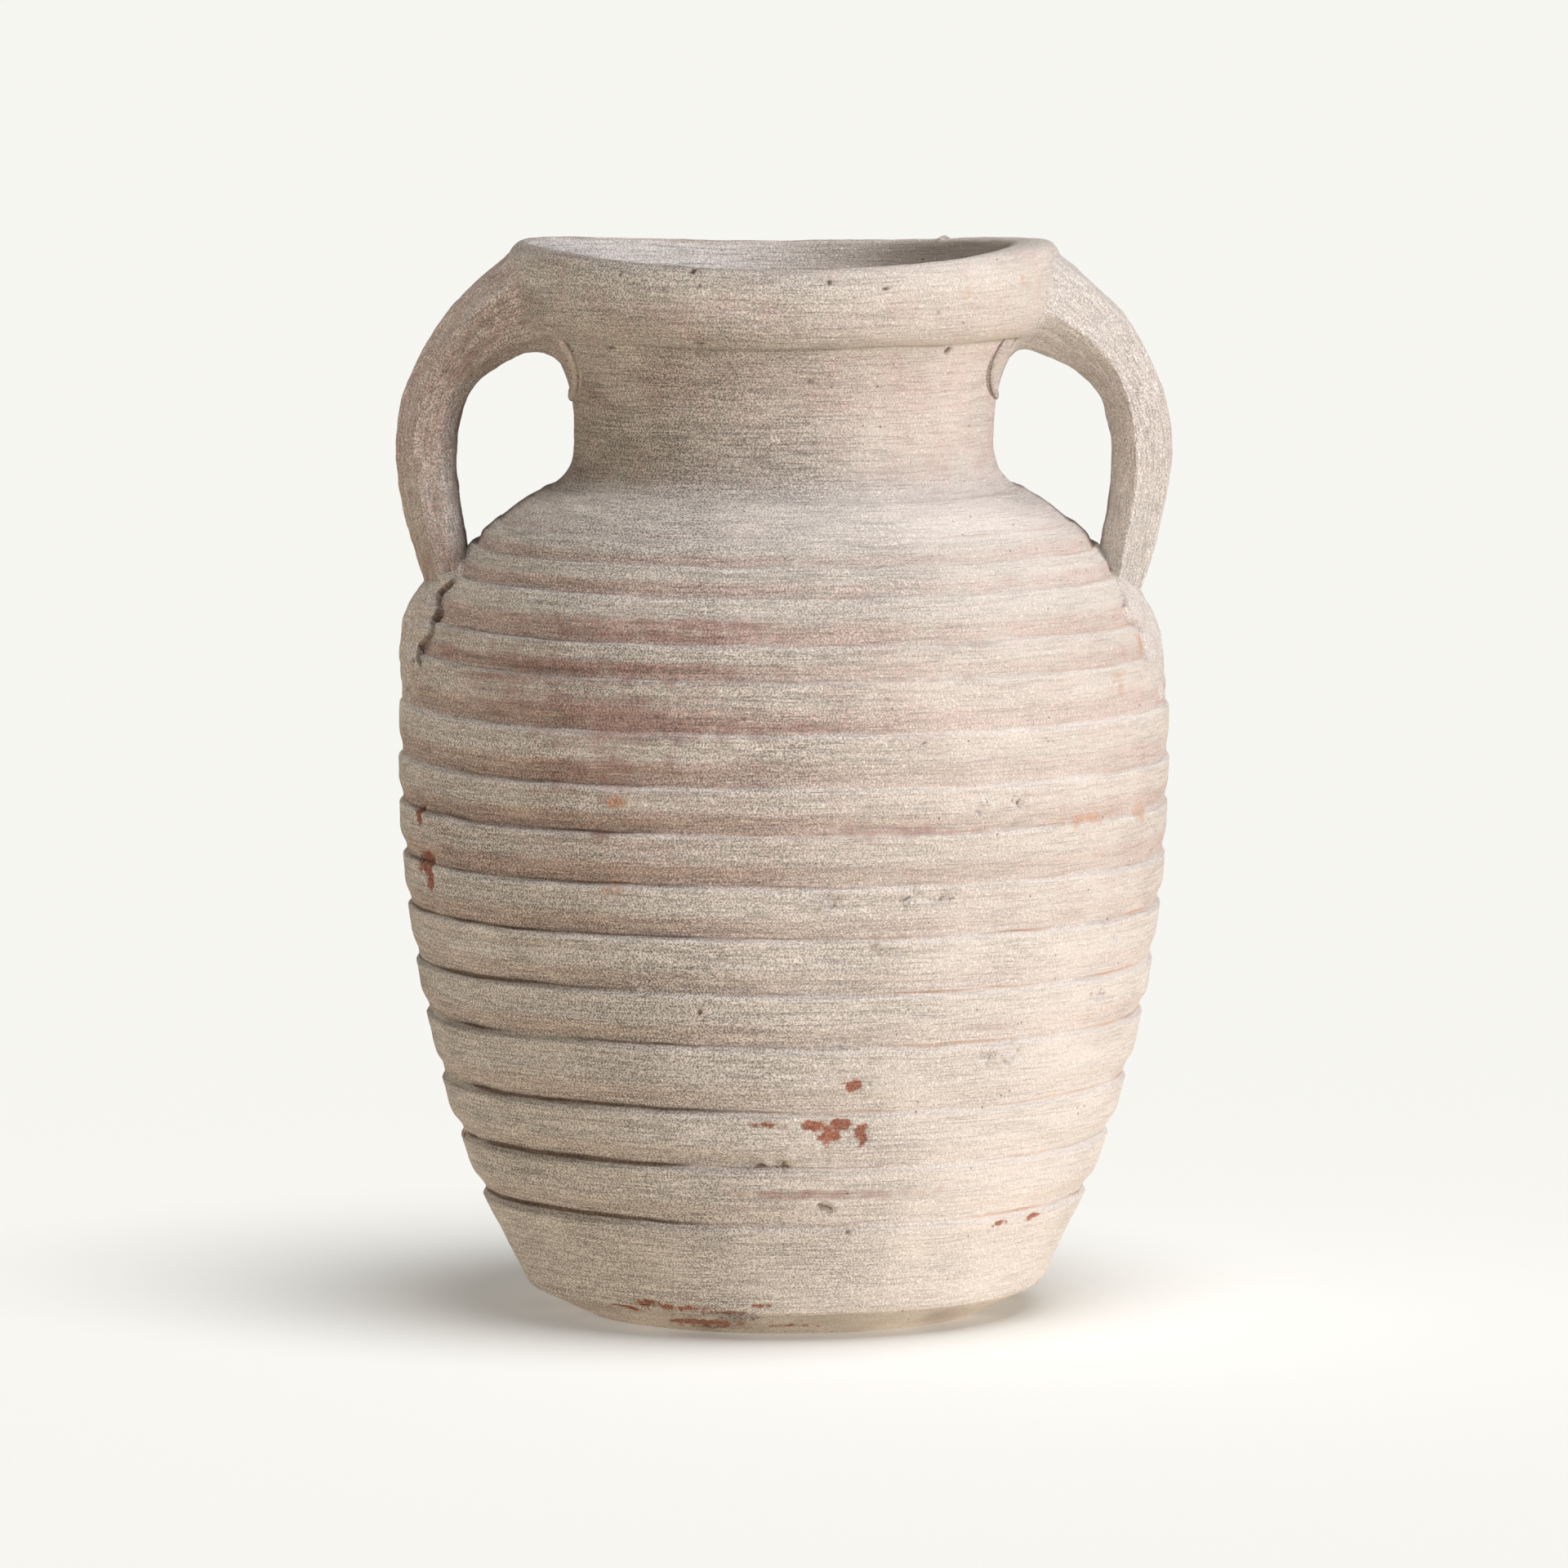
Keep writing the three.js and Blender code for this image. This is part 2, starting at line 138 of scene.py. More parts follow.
# How pale the slip is, by height as a share of the vase's
PALE_SHARES = (
    (0.0, 0.3), (0.028, 0.4), (0.04, 0.8), (0.1, 0.85), (0.25, 0.75), (0.38, 0.45), (0.48, 0.2),
    (0.6, 0.05), (0.68, 0.2), (0.74, 0.4),
    (0.755, 1.1), (0.775, 1.1), (0.8, 0.1), (0.9, 0.0), (1.0, 0.1),
)

# Marks on the wall: degrees from the front, then height, half width and half height as shares of the
# vase's height, and strength
CHIP_SHARES = (
    (-71, 0.478, 0.011, 0.010, 1.3), (-69, 0.436, 0.021, 0.011, 1.3), (-67, 0.424, 0.009, 0.014, 1.3),
    (11, 0.250, 0.009, 0.008, 1.0), (5, 0.213, 0.011, 0.006, 1.3), (9.5, 0.213, 0.012, 0.006, 1.3),
    (13.0, 0.203, 0.007, 0.011, 1.3), (7.5, 0.203, 0.011, 0.010, 1.2), (-3, 0.213, 0.017, 0.003, 0.7),
    (45, 0.106, 0.010, 0.003, 1.0), (55.5, 0.107, 0.013, 0.003, 1.0), (-30, 0.033, 0.013, 0.003, 0.8),
    (-20, 0.011, 0.034, 0.0045, 1.0), (-5, 0.034, 0.010, 0.003, 0.9), (-22, 0.029, 0.040, 0.0025, 0.9),
    (-12, 0.026, 0.030, 0.0022, 0.8), (-38, 0.024, 0.020, 0.0022, 0.8), (3, 0.010, 0.020, 0.002, 0.7),
    (79, 0.028, 0.005, 0.003, 1.0),
    (-84, 0.164, 0.012, 0.006, 1.0), (118, 0.30, 0.014, 0.008, 1.0),
    (160, 0.47, 0.012, 0.010, 1.0), (-140, 0.21, 0.016, 0.006, 1.0), (-118, 0.035, 0.03, 0.004, 1.0),
    (171, 0.110, 0.012, 0.003, 1.0), (135, 0.012, 0.03, 0.005, 1.0),
)
STAIN_SHARES = (
    (-27, 0.596, 0.100, 0.016, 0.75), (-29, 0.548, 0.070, 0.022, 0.85), (-25, 0.572, 0.110, 0.045, 0.55),
    (-20, 0.595, 0.018, 0.005, 0.9), (-20, 0.545, 0.012, 0.006, 0.8), (-9, 0.672, 0.070, 0.0045, 0.8),
    (-30, 0.664, 0.170, 0.007, 0.45), (-10, 0.633, 0.220, 0.009, 0.45), (30, 0.640, 0.100, 0.008, 0.3),
    (-26, 0.511, 0.020, 0.006, 0.6), (-45, 0.600, 0.060, 0.030, 0.35), (-28, 0.481, 0.014, 0.006, 0.7),
    (152, 0.60, 0.08, 0.022, 0.7), (-150, 0.53, 0.05, 0.02, 0.7), (120, 0.66, 0.07, 0.008, 0.5),
    (15, 0.49, 0.04, 0.008, 0.3), (2, 0.145, 0.06, 0.006, 0.3),
)
OCHRE_SHARES = (
    (43, 0.968, 0.013, 0.008, 0.5), (59.6, 0.975, 0.011, 0.008, 0.5), (-25, 0.511, 0.014, 0.006, 0.8),
    (-26.5, 0.436, 0.028, 0.006, 0.5), (52, 0.484, 0.060, 0.008, 0.9), (66, 0.480, 0.030, 0.010, 0.6),
    (60, 0.606, 0.022, 0.008, 0.5), (74, 0.636, 0.014, 0.012, 0.9), (-165, 0.37, 0.03, 0.008, 0.8),
    (128, 0.52, 0.04, 0.008, 0.7),
)
CRUMB_SHARES = (
    (30, 0.508, 0.016, 0.012, 1.0), (36, 0.511, 0.014, 0.014, 1.0), (35, 0.49, 0.012, 0.008, 0.7),
    (5.7, 0.422, 0.022, 0.014, 1.0), (19, 0.423, 0.022, 0.014, 1.0), (24, 0.424, 0.016, 0.010, 0.8),
    (16, 0.379, 0.034, 0.012, 1.0), (61, 0.3667, 0.016, 0.014, 0.9), (57, 0.385, 0.010, 0.008, 0.8),
    (36, 0.272, 0.036, 0.022, 0.7), (8, 0.133, 0.016, 0.009, 0.9), (8.5, 0.276, 0.012, 0.026, 0.8),
    (14, 0.252, 0.014, 0.010, 0.7), (0, 0.175, 0.05, 0.02, 0.3), (-10, 0.355, 0.03, 0.02, 0.3),
    (58, 0.319, 0.02, 0.005, 0.8), (-140, 0.42, 0.03, 0.014, 0.9), (145, 0.35, 0.03, 0.014, 0.9),
    (-12, 0.020, 0.06, 0.006, 0.6),
)
PIT_SHARES = (
    (-20, 0.995, 0.004, 0.004, 1.0), (-37, 0.986, 0.003, 0.003, 0.8), (-26, 0.975, 0.003, 0.003, 0.7),
    (-18, 0.981, 0.003, 0.003, 0.7), (9.6, 0.986, 0.004, 0.004, 1.0), (21.8, 0.978, 0.006, 0.0025, 0.9),
    (34, 0.953, 0.003, 0.003, 0.8), (43.5, 0.914, 0.006, 0.005, 1.0), (6.6, 0.889, 0.006, 0.003, 0.7),
    (16, 0.569, 0.003, 0.003, 0.9), (21, 0.567, 0.003, 0.003, 0.9), (-13, 0.319, 0.004, 0.004, 1.0),
    (12, 0.108, 0.004, 0.004, 0.9), (-24, 0.491, 0.003, 0.003, 0.8), (-22, 0.332, 0.010, 0.002, 0.6),
    (-19, 0.925, 0.010, 0.0025, 0.8), (-46, 0.917, 0.012, 0.002, 0.8), (150, 0.95, 0.004, 0.004, 1.0),
    (-160, 0.60, 0.004, 0.004, 1.0), (170, 0.33, 0.004, 0.004, 1.0),
)
BLOB_SHARES = (
    (-23.7, 0.352, 0.004, 0.018, 1.0), (-22.5, 0.338, 0.010, 0.004, 0.8), (52, 1.0, 0.004, 0.004, 0.4),
    (-20, 0.918, 0.003, 0.003, 0.7), (3, 0.352, 0.004, 0.006, 0.6), (-4, 0.30, 0.003, 0.004, 0.6),
    (140, 0.998, 0.005, 0.005, 1.0), (-2, 0.985, 0.004, 0.004, 0.5), (-130, 0.345, 0.006, 0.02, 0.8),
)
NO_MARK = -1.0

# Coats over the slip, the pale one also carrying painted highlights and painted light: where each starts,
# where it is full, and how much it then covers
COAT_SHARES = (("pale", -0.2, 1.0, 0.9), ("stain", -0.1, 0.9, 0.75), ("ochre", 0.0, 0.8, 0.8))

# Relief of the marks
CHIP_DEPTH = 0.0006
CRUMB_DEPTH = 0.0013
PIT_DEPTH = 0.0011
BLOB_RISE = 0.0011
STAIN_DEPTH = 0.0002

# The ledge and the creases at the neck's two ends
NECK_LEDGE_RISE = 0.0011
NECK_LEDGE_WIDTH = 0.0015
CREASE_DEPTH = 0.0007
CREASE_WIDTH = 0.0009
LOWER_CREASE_DROP = 0.0035

# How far along the outline a change in the surface takes
SETTLE_CLIMB = 0.03
STANDING_CLIMB = 0.004
BEVEL_EDGE = 0.0006
LIP_LEAD = 0.001
LIP_RUN = 0.004
THROAT_FADE = 0.012
INNER_NECK_BEND = 0.024
RIM_RISE_START = 0.004
RIM_SWELL_START = 0.006
RIM_SWELL_END = 0.018
STREAK_STRETCH = 34.0

# The throwing spiral inside the floor
SPIRAL_PITCH = 0.011
SPIRAL_START = 0.01

# Pulled strap handles
FINGER_GAP = 0.0405
STRAP_THICKNESS = 0.0205
STRAP_WIDTH = 0.036
STRAP_ROOT_THICKNESS = 0.034
STRAP_ROOT_WIDTH = 0.058
STRAP_END_THICKNESS = 0.015
STRAP_END_WIDTH = 0.048
ROOT_HEIGHT = RIM_SEAM + 0.465 * RIM_HEIGHT
ROOT_BURY = 0.010
END_HEIGHT = BELLY_HEIGHT + 0.58 * SHOULDER_HEIGHT
END_BURY = 0.0046
ROOT_PULL_SHARE = 1.4
END_PULL_SHARE = 1.02
ROOT_PULL_DROP_SHARE = 0.23
END_PULL_DROP_SHARE = 0.58
ROOT_FLARE_SHARE = 0.42
END_FLARE_SHARE = 0.6
# A strap's facets: degrees from its outer face towards its front edge, and how far out each facet lies as
# a share of the half section, at the upper end and along the rest
RIGHT_FACET_SHARES = (
    (0, 1.0, 1.0), (66, 0.98, 0.85), (120, 0.98, 0.97), (180, 1.0, 1.0),
    (228, 0.98, 1.0), (270, 1.0, 1.0), (312, 1.25, 1.2),
)
LEFT_FACET_SHARES = (
    (0, 1.0, 1.0), (47, 1.10, 0.93), (90, 1.0, 1.0), (132, 1.10, 1.16), (180, 1.0, 1.0),
    (228, 0.98, 1.0), (270, 1.0, 1.0), (312, 1.2, 1.05),
)
FACET_POWER = 30.0
STRAP_TWIST = 0.12
STRAP_LENGTH = 0.118
STRAP_GIRTH = 0.016
STREAK_RUN = 0.012
STRAP_ROWS = 220
STRAP_COLUMNS = 176

# Fillets where a strap runs into the rim and the neck: degrees round the section from its outer face
# towards the front, then their reach as a share of the widest
FILLET_REACH = 0.013
RIGHT_FILLET_SHARES = (
    (0, 0.35), (40, 0.40), (90, 0.55), (130, 0.45), (180, 0.30), (230, 0.45), (270, 0.55), (320, 0.40),
    (360, 0.35),
)
LEFT_FILLET_SHARES = (
    (0, 0.45), (40, 0.5), (90, 0.70), (130, 0.75), (180, 0.75), (230, 0.60), (270, 0.60), (320, 0.5),
    (360, 0.45),
)
FILLET_ROWS = 34
PROBE_SHARE = 0.4
PROBE_STEPS = 161
LOOP_BLUR = 3
SNAP_ROUNDS = 3
FEATHER_SINK = 0.00025
SKIRT_DEPTH = 0.0015
GAP_STRIDE = 3
GAP_BLOCKS = 24
SHORTEST = 1e-12

# Wads smeared over the lower ends, as shares of the vase's height: height, half width towards the front
# and towards the back, and thickness
LEFT_WAD_SHARES = (
    (0.565, 0.035, 0.030, 0.0005), (0.580, 0.085, 0.070, 0.0010), (0.592, 0.127, 0.100, 0.0018),
    (0.605, 0.112, 0.108, 0.0035), (0.618, 0.106, 0.112, 0.0055), (0.632, 0.080, 0.110, 0.0090),
    (0.646, 0.110, 0.112, 0.0125), (0.657, 0.093, 0.108, 0.0150), (0.667, 0.100, 0.100, 0.0145),
    (0.680, 0.074, 0.094, 0.0130), (0.692, 0.088, 0.084, 0.0120), (0.706, 0.076, 0.062, 0.0110),
    (0.716, 0.040, 0.035, 0.0060),
)
RIGHT_WAD_SHARES = (
    (0.572, 0.040, 0.035, 0.0003), (0.589, 0.087, 0.080, 0.0008), (0.602, 0.077, 0.100, 0.0020),
    (0.616, 0.125, 0.110, 0.0030), (0.626, 0.092, 0.114, 0.0045), (0.637, 0.101, 0.112, 0.0060),
    (0.650, 0.088, 0.108, 0.0065), (0.658, 0.108, 0.104, 0.0070), (0.670, 0.112, 0.100, 0.0070),
    (0.682, 0.090, 0.090, 0.0080), (0.695, 0.075, 0.075, 0.0080), (0.708, 0.050, 0.050, 0.0060),
)
WAD_EDGE_RISE = 0.0020
WAD_EDGE_WIDTH = 0.0007
WAD_SMEAR = 0.0055
WAD_SUNK = 0.003
WAD_LUMPS = 0.0006
WAD_CRACK_DEPTH = 0.0022
WAD_RAGGEDNESS = 0.0026
WAD_MARGIN = 0.006
WAD_SPACING = 0.0005
WAD_CROWN_REACH = 0.012
WAD_SPLIT_INSET = 0.007
WAD_SPLIT_WIDTH = 0.0006
# Painted shade along a wad's cracked edge, where an open gap would be dark
WAD_CRACK_SHADE_INSET = 0.0004
WAD_CRACK_SHADE_WIDTH = 0.0008

# Coils pressed onto the neck round the upper ends
COIL_RADIUS = 0.0033
COIL_BURY = 0.0003
COIL_SPREADING = 1.6
COIL_SPREAD = 0.004
COIL_SQUARENESS = 0.8
COIL_RISE = 0.002
COIL_DROP = 0.020
COIL_STEPS = 220
COIL_COLUMNS = 56

# Where rows and columns lie
INNER_ROW_SPACING = 0.005
OUTLINE_STEP = 0.0002
OUTLINE_SAMPLES = 400
CRISP_BLUR = 4
SOFT_BLUR = 14
NECK_FOOT_SOFTNESS = 0.005
RIM_SOFT_START = 0.002
RIM_SOFT_END = 0.006
SLAB_RINGS = 60
SLAB_RING_SHARES = (0.03, 0.995)


def smooth_step(low, high, value):
    """0 below low, 1 above high, and a smooth rise between them."""
    share = np.clip((value - low) / (high - low), 0, 1)
    return share * share * (3 - 2 * share)


# Smooth random heights over space, the same on every run
LATTICE_SIZE = 8192
LATTICE = np.random.default_rng(11).uniform(-1, 1, LATTICE_SIZE)
LATTICE_STRIDES = (73856093, 19349663, 83492791)
LATTICE_TURN = np.array(Euler((0.9, 0.4, 0.6), "XYZ").to_matrix())
LATTICE_SHIFT = 17.31
RIB_STRENGTH_SEED = 3
RIB_CRISPNESS_SEED = 5

# Each noise's depth, the width of its lumps, how many sizes it has, and its seed
NOISES = {
    "sway": (1.0, 0.085, 1, 1), "fine_sway": (0.3, 0.011, 1, 2), "lumps": (1.0, 0.028, 2, 6),
    "lines": (1.0, 0.0042, 1, 7), "fine_lines": (0.7, 0.0021, 1, 8), "line_strength": (0.5, 0.03, 1, 9),
    "grit": (1.0, 0.0048, 2, 10), "fine_grit": (0.5, 0.0023, 1, 12), "edge_crumble": (0.0003, 0.003, 1, 13),
    "crumbs": (1.0, 0.0032, 2, 14), "crease_drift": (0.0022, 0.05, 1, 21),
    "crease_fade": (0.5, 0.03, 1, 22), "neck_ledge": (0.4, 0.03, 1, 23), "ragged": (0.35, 0.004, 1, 31),
    "fine_ragged": (0.25, 0.0018, 1, 32), "stain_streaks": (0.7, 0.0022, 1, 33),
    "ochre_streaks": (0.5, 0.002, 1, 34), "torn": (0.4, 0.0034, 1, 35),
    "torn_streaks": (0.3, 0.0016, 1, 36), "fine_torn": (0.2, 0.0018, 1, 37),
    "blush_clouds": (0.3, 0.035, 1, 41), "blush_streaks": (0.3, 0.006, 1, 42),
    "groove_shade": (0.7, 0.02, 1, 43), "lip_highlight": (0.5, 0.012, 1, 44),
    "pale_streaks": (0.25, 0.008, 1, 45), "sand_patches": (0.25, 0.02, 1, 46),
    "stain_bands": (0.35, 0.006, 1, 47), "cove_pink_and_shade": (0.5, 0.03, 1, 48), "bare_clay": (0.8, 0.02, 1, 49),
    "bevel_shade": (0.2, 0.012, 1, 50), "inner_lines": (1.0, 0.007, 1, 51),
    "inner_lumps": (1.0, 0.02, 1, 52), "plain_blush": (0.3, 0.03, 1, 61),
    "plain_streaks": (0.25, 0.006, 1, 62), "strap_twist": (1.0, 0.03, 1, 71),
    "strap_lumps": (1.8, 0.014, 3, 72), "strap_lines": (1.0, 0.0026, 1, 73),
    "fine_strap_lines": (0.7, 0.0013, 1, 74), "strap_grit": (1.0, 0.004, 2, 75),
    "strap_mottle": (1.0, 0.0021, 1, 76), "fine_strap_grit": (0.6, 0.0017, 1, 77),
    "strap_inner_shade": (0.6, 0.012, 1, 78), "strap_stain": (0.7, 0.013, 3, 79),
    "strap_stain_lines": (0.4, 0.003, 1, 80), "strap_pits": (1.0, 0.0026, 1, 81),
    "wad_edge": (1.0, 0.009, 4, 82), "wad_lines": (1.0, 0.0035, 1, 83),
    "fine_wad_lines": (0.6, 0.0016, 1, 84), "wad_lumps": (1.0, 0.008, 3, 85),
    "wad_grit": (1.0, 0.003, 2, 86), "wad_splits": (1.0, 0.010, 1, 87), "wad_stain": (0.8, 0.011, 3, 88),
    "wad_cracks": (1.0, 0.014, 1, 89), "wad_pits": (1.0, 0.003, 1, 90), "coil_girth": (0.15, 0.008, 1, 91),
    "coil_grit": (1.0, 0.004, 3, 92), "wad_pale": (0.4, 0.004, 1, 93), "coil_contact_shade": (0.4, 0.01, 1, 95),
}


def lattice_value(cells):
    """The random value of each lattice point."""
    mixed = cells[..., 0] * LATTICE_STRIDES[0]
    for axis in (1, 2):
        mixed = mixed ^ (cells[..., axis] * LATTICE_STRIDES[axis])
    return LATTICE[mixed & (LATTICE_SIZE - 1)]


def value_noise(points, cell, seed):
    """Value noise from -1 to 1 with lumps as wide as cell."""
    place = points @ LATTICE_TURN / cell + seed * LATTICE_SHIFT
    low = np.floor(place).astype(np.int64)
    part = place - low
    part = part * part * (3 - 2 * part)
    total = 0.0
    for corner in np.ndindex(2, 2, 2):
        weight = np.ones(points.shape[:-1])
        for axis in range(3):
            weight = weight * (part[..., axis] if corner[axis] else 1 - part[..., axis])
        total = total + weight * lattice_value(low + np.array(corner))
    return total


def noise(points, name):
    """A named noise: one or more sizes, each half as wide and half as deep as the last."""
    depth, width, sizes, seed = NOISES[name]
    total = 0.0
    for size in range(sizes):
        total = total + value_noise(points, width / 2**size, seed + size) / 2**size
    return depth * total


def wall_radius(height):
    """Radius of the smooth wall, from the bevel up to the foot of the neck."""
    below = np.clip((BELLY_HEIGHT - height) / (BELLY_HEIGHT - BEVEL_HEIGHT), 0, 1)
    lower = BELLY_RADIUS - (BELLY_RADIUS - BEVEL_RADIUS) * below**LOWER_WALL_POWER
    risen = np.clip((height - BELLY_HEIGHT) / SHOULDER_HEIGHT, 0, 1)
    left = (1 - risen**SHOULDER_POWER) ** SHOULDER_ROOT_POWER
    upper = NECK_FOOT_RADIUS + (BELLY_RADIUS - NECK_FOOT_RADIUS) * left
    return np.where(height < BELLY_HEIGHT, lower, upper)


def neck_radius(height):
    """Radius of the neck's outside."""
    risen = (height - NECK_SEAM) / NECK_HEIGHT
    foot = np.clip((NECK_WAIST_SHARE - risen) / NECK_WAIST_SHARE, 0, 1) ** NECK_FOOT_POWER
    top = np.clip((risen - NECK_WAIST_SHARE) / (1 - NECK_WAIST_SHARE), 0, None) ** NECK_FLARE_POWER
    return NECK_WAIST_RADIUS + NECK_FOOT_FLARE * foot + NECK_TOP_FLARE * top


def outline_corners():
    """Radius and height along the outside, from the standing ring over the lip to the foot of the throat."""
    body = np.linspace(BEVEL_HEIGHT, NECK_SEAM, OUTLINE_SAMPLES)
    neck = np.linspace(NECK_SEAM, RIM_SEAM, OUTLINE_SAMPLES)[1:]
    corners = [(STAND_RADIUS, 0.0)]
    corners += list(zip(wall_radius(body), body))
    corners += list(zip(neck_radius(neck), neck))
    for height_share, reach_share in RIM_OUTLINE_SHARES:
        corners.append((NECK_TOP_RADIUS + reach_share * RIM_OVERHANG, RIM_SEAM + height_share * RIM_HEIGHT))
    mouth = RIM_RADIUS - LIP_THICKNESS
    throat_foot = NECK_TOP_RADIUS - WALL_THICKNESS
    for height_share, depth_share in THROAT_OUTLINE_SHARES:
        corners.append((mouth + depth_share * (throat_foot - mouth), RIM_SEAM + height_share * RIM_HEIGHT))
    return np.array(corners)


def blurred(values, steps):
    """Values along a line, softened over some steps, with both ends kept."""
    reach = np.arange(-3 * steps, 3 * steps + 1)
    weights = np.exp(-0.5 * (reach / steps) ** 2)
    weights = weights / weights.sum()
    first = 2 * values[0] - values[1 : 3 * steps + 1][::-1]
    last = 2 * values[-1] - values[-3 * steps - 1 : -1][::-1]
    return np.convolve(np.concatenate([first, values, last]), weights, mode="valid")


class Outline:
    """The vessel's outside as a line that climbs from the standing ring over the lip into the throat."""

    def __init__(self):
        corners = outline_corners()
        steps = np.hypot(*np.diff(corners, axis=0).T)
        climbs = np.concatenate([[0.0], np.cumsum(steps)])
        self.climb = np.arange(0.0, climbs[-1], OUTLINE_STEP)
        sharp = [np.interp(self.climb, climbs, corners[:, axis]) for axis in (0, 1)]
        crisp = [blurred(line, CRISP_BLUR) for line in sharp]
        soft = [blurred(line, SOFT_BLUR) for line in sharp]
        softness = self.softness(crisp[1])
        self.radius, self.height = [c + (s - c) * softness for c, s in zip(crisp, soft)]
        rise = np.gradient(self.height)
        widen = np.gradient(self.radius)
        length = np.hypot(rise, widen)
        self.out, self.up = rise / length, -widen / length
        self.lip = self.climb[np.argmax(self.height)]

    @staticmethod
    def softness(height):
        """How far each height takes the soft line: all the way on the neck's foot and on the rim."""
        neck_foot = np.exp(-(((height - NECK_SEAM) / NECK_FOOT_SOFTNESS) ** 2))
        rim = smooth_step(RIM_SEAM + RIM_SOFT_START, RIM_SEAM + RIM_SOFT_END, height)
        return np.clip(neck_foot + rim, 0, 1)

    def climb_to(self, height):
        """How far up the line a height lies, on the outside."""
        outside = self.climb <= self.lip
        return float(np.interp(height, self.height[outside], self.climb[outside]))

    def at(self, climb):
        """Radius, height and the outward direction at each climb."""
        lines = (self.radius, self.height, self.out, self.up)
        return [np.interp(climb, self.climb, line) for line in lines]


OUTLINE = Outline()
RIB_CLIMBS = np.array([OUTLINE.climb_to(share * NECK_SEAM) for share, _, _ in RIB_SHARES])
NECK_CLIMB = OUTLINE.climb_to(NECK_SEAM)
RIM_CLIMB = OUTLINE.climb_to(RIM_SEAM)
FOOT_RISE_CLIMB = OUTLINE.climb_to(BEVEL_HEIGHT)


def rows_between(first, last, spacing):
    """Climbs of the rows between two seams, closer together over each rib's edge."""
    edges = [first, *[c for c in RIB_CLIMBS if first < c < last], last]
    rows = []
    for low, high in zip(edges, edges[1:]):
        over_edge = [low + share * (high - low) for share in ROW_SHARES] if low in RIB_CLIMBS else [low]
        count = max(2, round((high - over_edge[-1]) / spacing))
        rows += over_edge[:-1]
        rows += list(np.linspace(over_edge[-1], high, count, endpoint=False))
    return np.array([*rows, last])


def round_points(angle, radius, height):
    """Points of a turned shape; the angle runs from the front towards the right."""
    return np.stack([radius * np.sin(angle), -radius * np.cos(angle), height], axis=-1)


def streak_place(points, climb):
    """Where a point lies in the drawn-out space of the throwing lines."""
    return np.stack([points[..., 0] / STREAK_STRETCH, points[..., 1] / STREAK_STRETCH, climb], axis=-1)


def mark_field(points, marks, ragged):
    """1 in the middle of a mark, 0 at its ragged edge and NO_MARK well away from it."""
    angle = np.arctan2(points[..., 0], -points[..., 1])
    radius = np.hypot(points[..., 0], points[..., 1])
    whole = RIM_TOP
    field = np.full(angle.shape, NO_MARK)
    for degrees, height, half_width, half_height, strength in marks:
        turn = (angle - math.radians(degrees) + math.pi) % (2 * math.pi) - math.pi
        across = turn * radius / (half_width * whole)
        up = (points[..., 2] - height * whole) / (half_height * whole)
        field = np.maximum(field, (1 - np.hypot(across, up)) * strength)
    return np.clip(field + ragged, NO_MARK, 1)


def round_share(points, column):
    """One of the shares that change round the wall: 1 the ribs, 2 the sand."""
    table = np.array(TURN_SHARES)
    degrees = np.degrees(np.arctan2(points[..., 0], -points[..., 1]))
    return np.interp(degrees, table[:, 0], table[:, column])


def lit_side(points):
    """1 on the lit side, where the grooves show bare clay, 0 on the shaded side, where painted shade fills
    them.
    """
    degrees = np.degrees(np.arctan2(points[..., 0], -points[..., 1]))
    return smooth_step(-30, 8, degrees) * (1 - smooth_step(120, 160, degrees))


def rib_relief(points, climb):
    """How far the ribs stand out, and where their coves, the grooves over their edges and their lips lie."""
    shape = bpy.context.scene.vase_shape
    edges = np.concatenate([[FOOT_RISE_CLIMB], RIB_CLIMBS, [NECK_CLIMB]])
    crisp = np.array([0.0, *[crispness for _, crispness, _ in RIB_SHARES], 0.0])
    depth = np.array([0.0, *[rib_depth for _, _, rib_depth in RIB_SHARES], 0.0])
    band = np.clip(np.searchsorted(edges, climb, side="right") - 1, 0, len(edges) - 2)
    share = np.clip((climb - edges[band]) / (edges[band + 1] - edges[band]), 0, 1)
    layer = np.array([0.0, 0.0, 1.0]) * band[..., None] * shape.rib_fade
    turned = points * np.array([1.0, 1.0, 0.0]) + layer
    change = shape.rib_change * value_noise(turned, shape.rib_fade, RIB_STRENGTH_SEED)
    strength = round_share(points, 1) * (1 + change)
    waver = crisp[band] + 0.35 * value_noise(turned, shape.rib_fade, RIB_CRISPNESS_SEED)
    crispness = np.clip(waver, 0, 1)
    table = np.array(CRISP_BAND_SHARES)
    crisp_band = np.interp(share, table[:, 0], table[:, 1])
    soft_band = -0.5 * (1 - np.cos(2 * np.pi * share**0.7))
    first = band == 0
    crisp_band = np.where(first, 0.0, crisp_band)
    soft_band = np.where(first, 0.0, soft_band)
    reach = depth[band] + (depth[band + 1] - depth[band]) * smooth_step(0.0, 1.0, share)
    reach = np.where(first, depth[1] * smooth_step(0.55, 1.0, share), reach)
    swing = soft_band + (crisp_band - soft_band) * crispness
    relief = shape.rib_reach * reach + shape.rib_depth * depth[band] * swing * strength
    cove = smooth_step(0.05, 0.12, share) * (1 - smooth_step(0.35, 0.65, share)) * ~first
    groove = np.exp(-(((share - 0.085) / 0.03) ** 2)) * crispness * ~first
    lip = smooth_step(0.90, 0.98, share) + (1 - smooth_step(0.03, 0.08, share)) * ~first
    within = (climb > FOOT_RISE_CLIMB) & (climb < NECK_CLIMB)
    ledge = np.exp(-(((climb - NECK_CLIMB) / NECK_LEDGE_WIDTH + 1.6) ** 2))
    ledge = ledge * (0.6 + noise(points, "neck_ledge"))
    relief = relief + NECK_LEDGE_RISE * ledge
    return relief * within, cove * within, groove * within, np.maximum(lip, ledge) * within


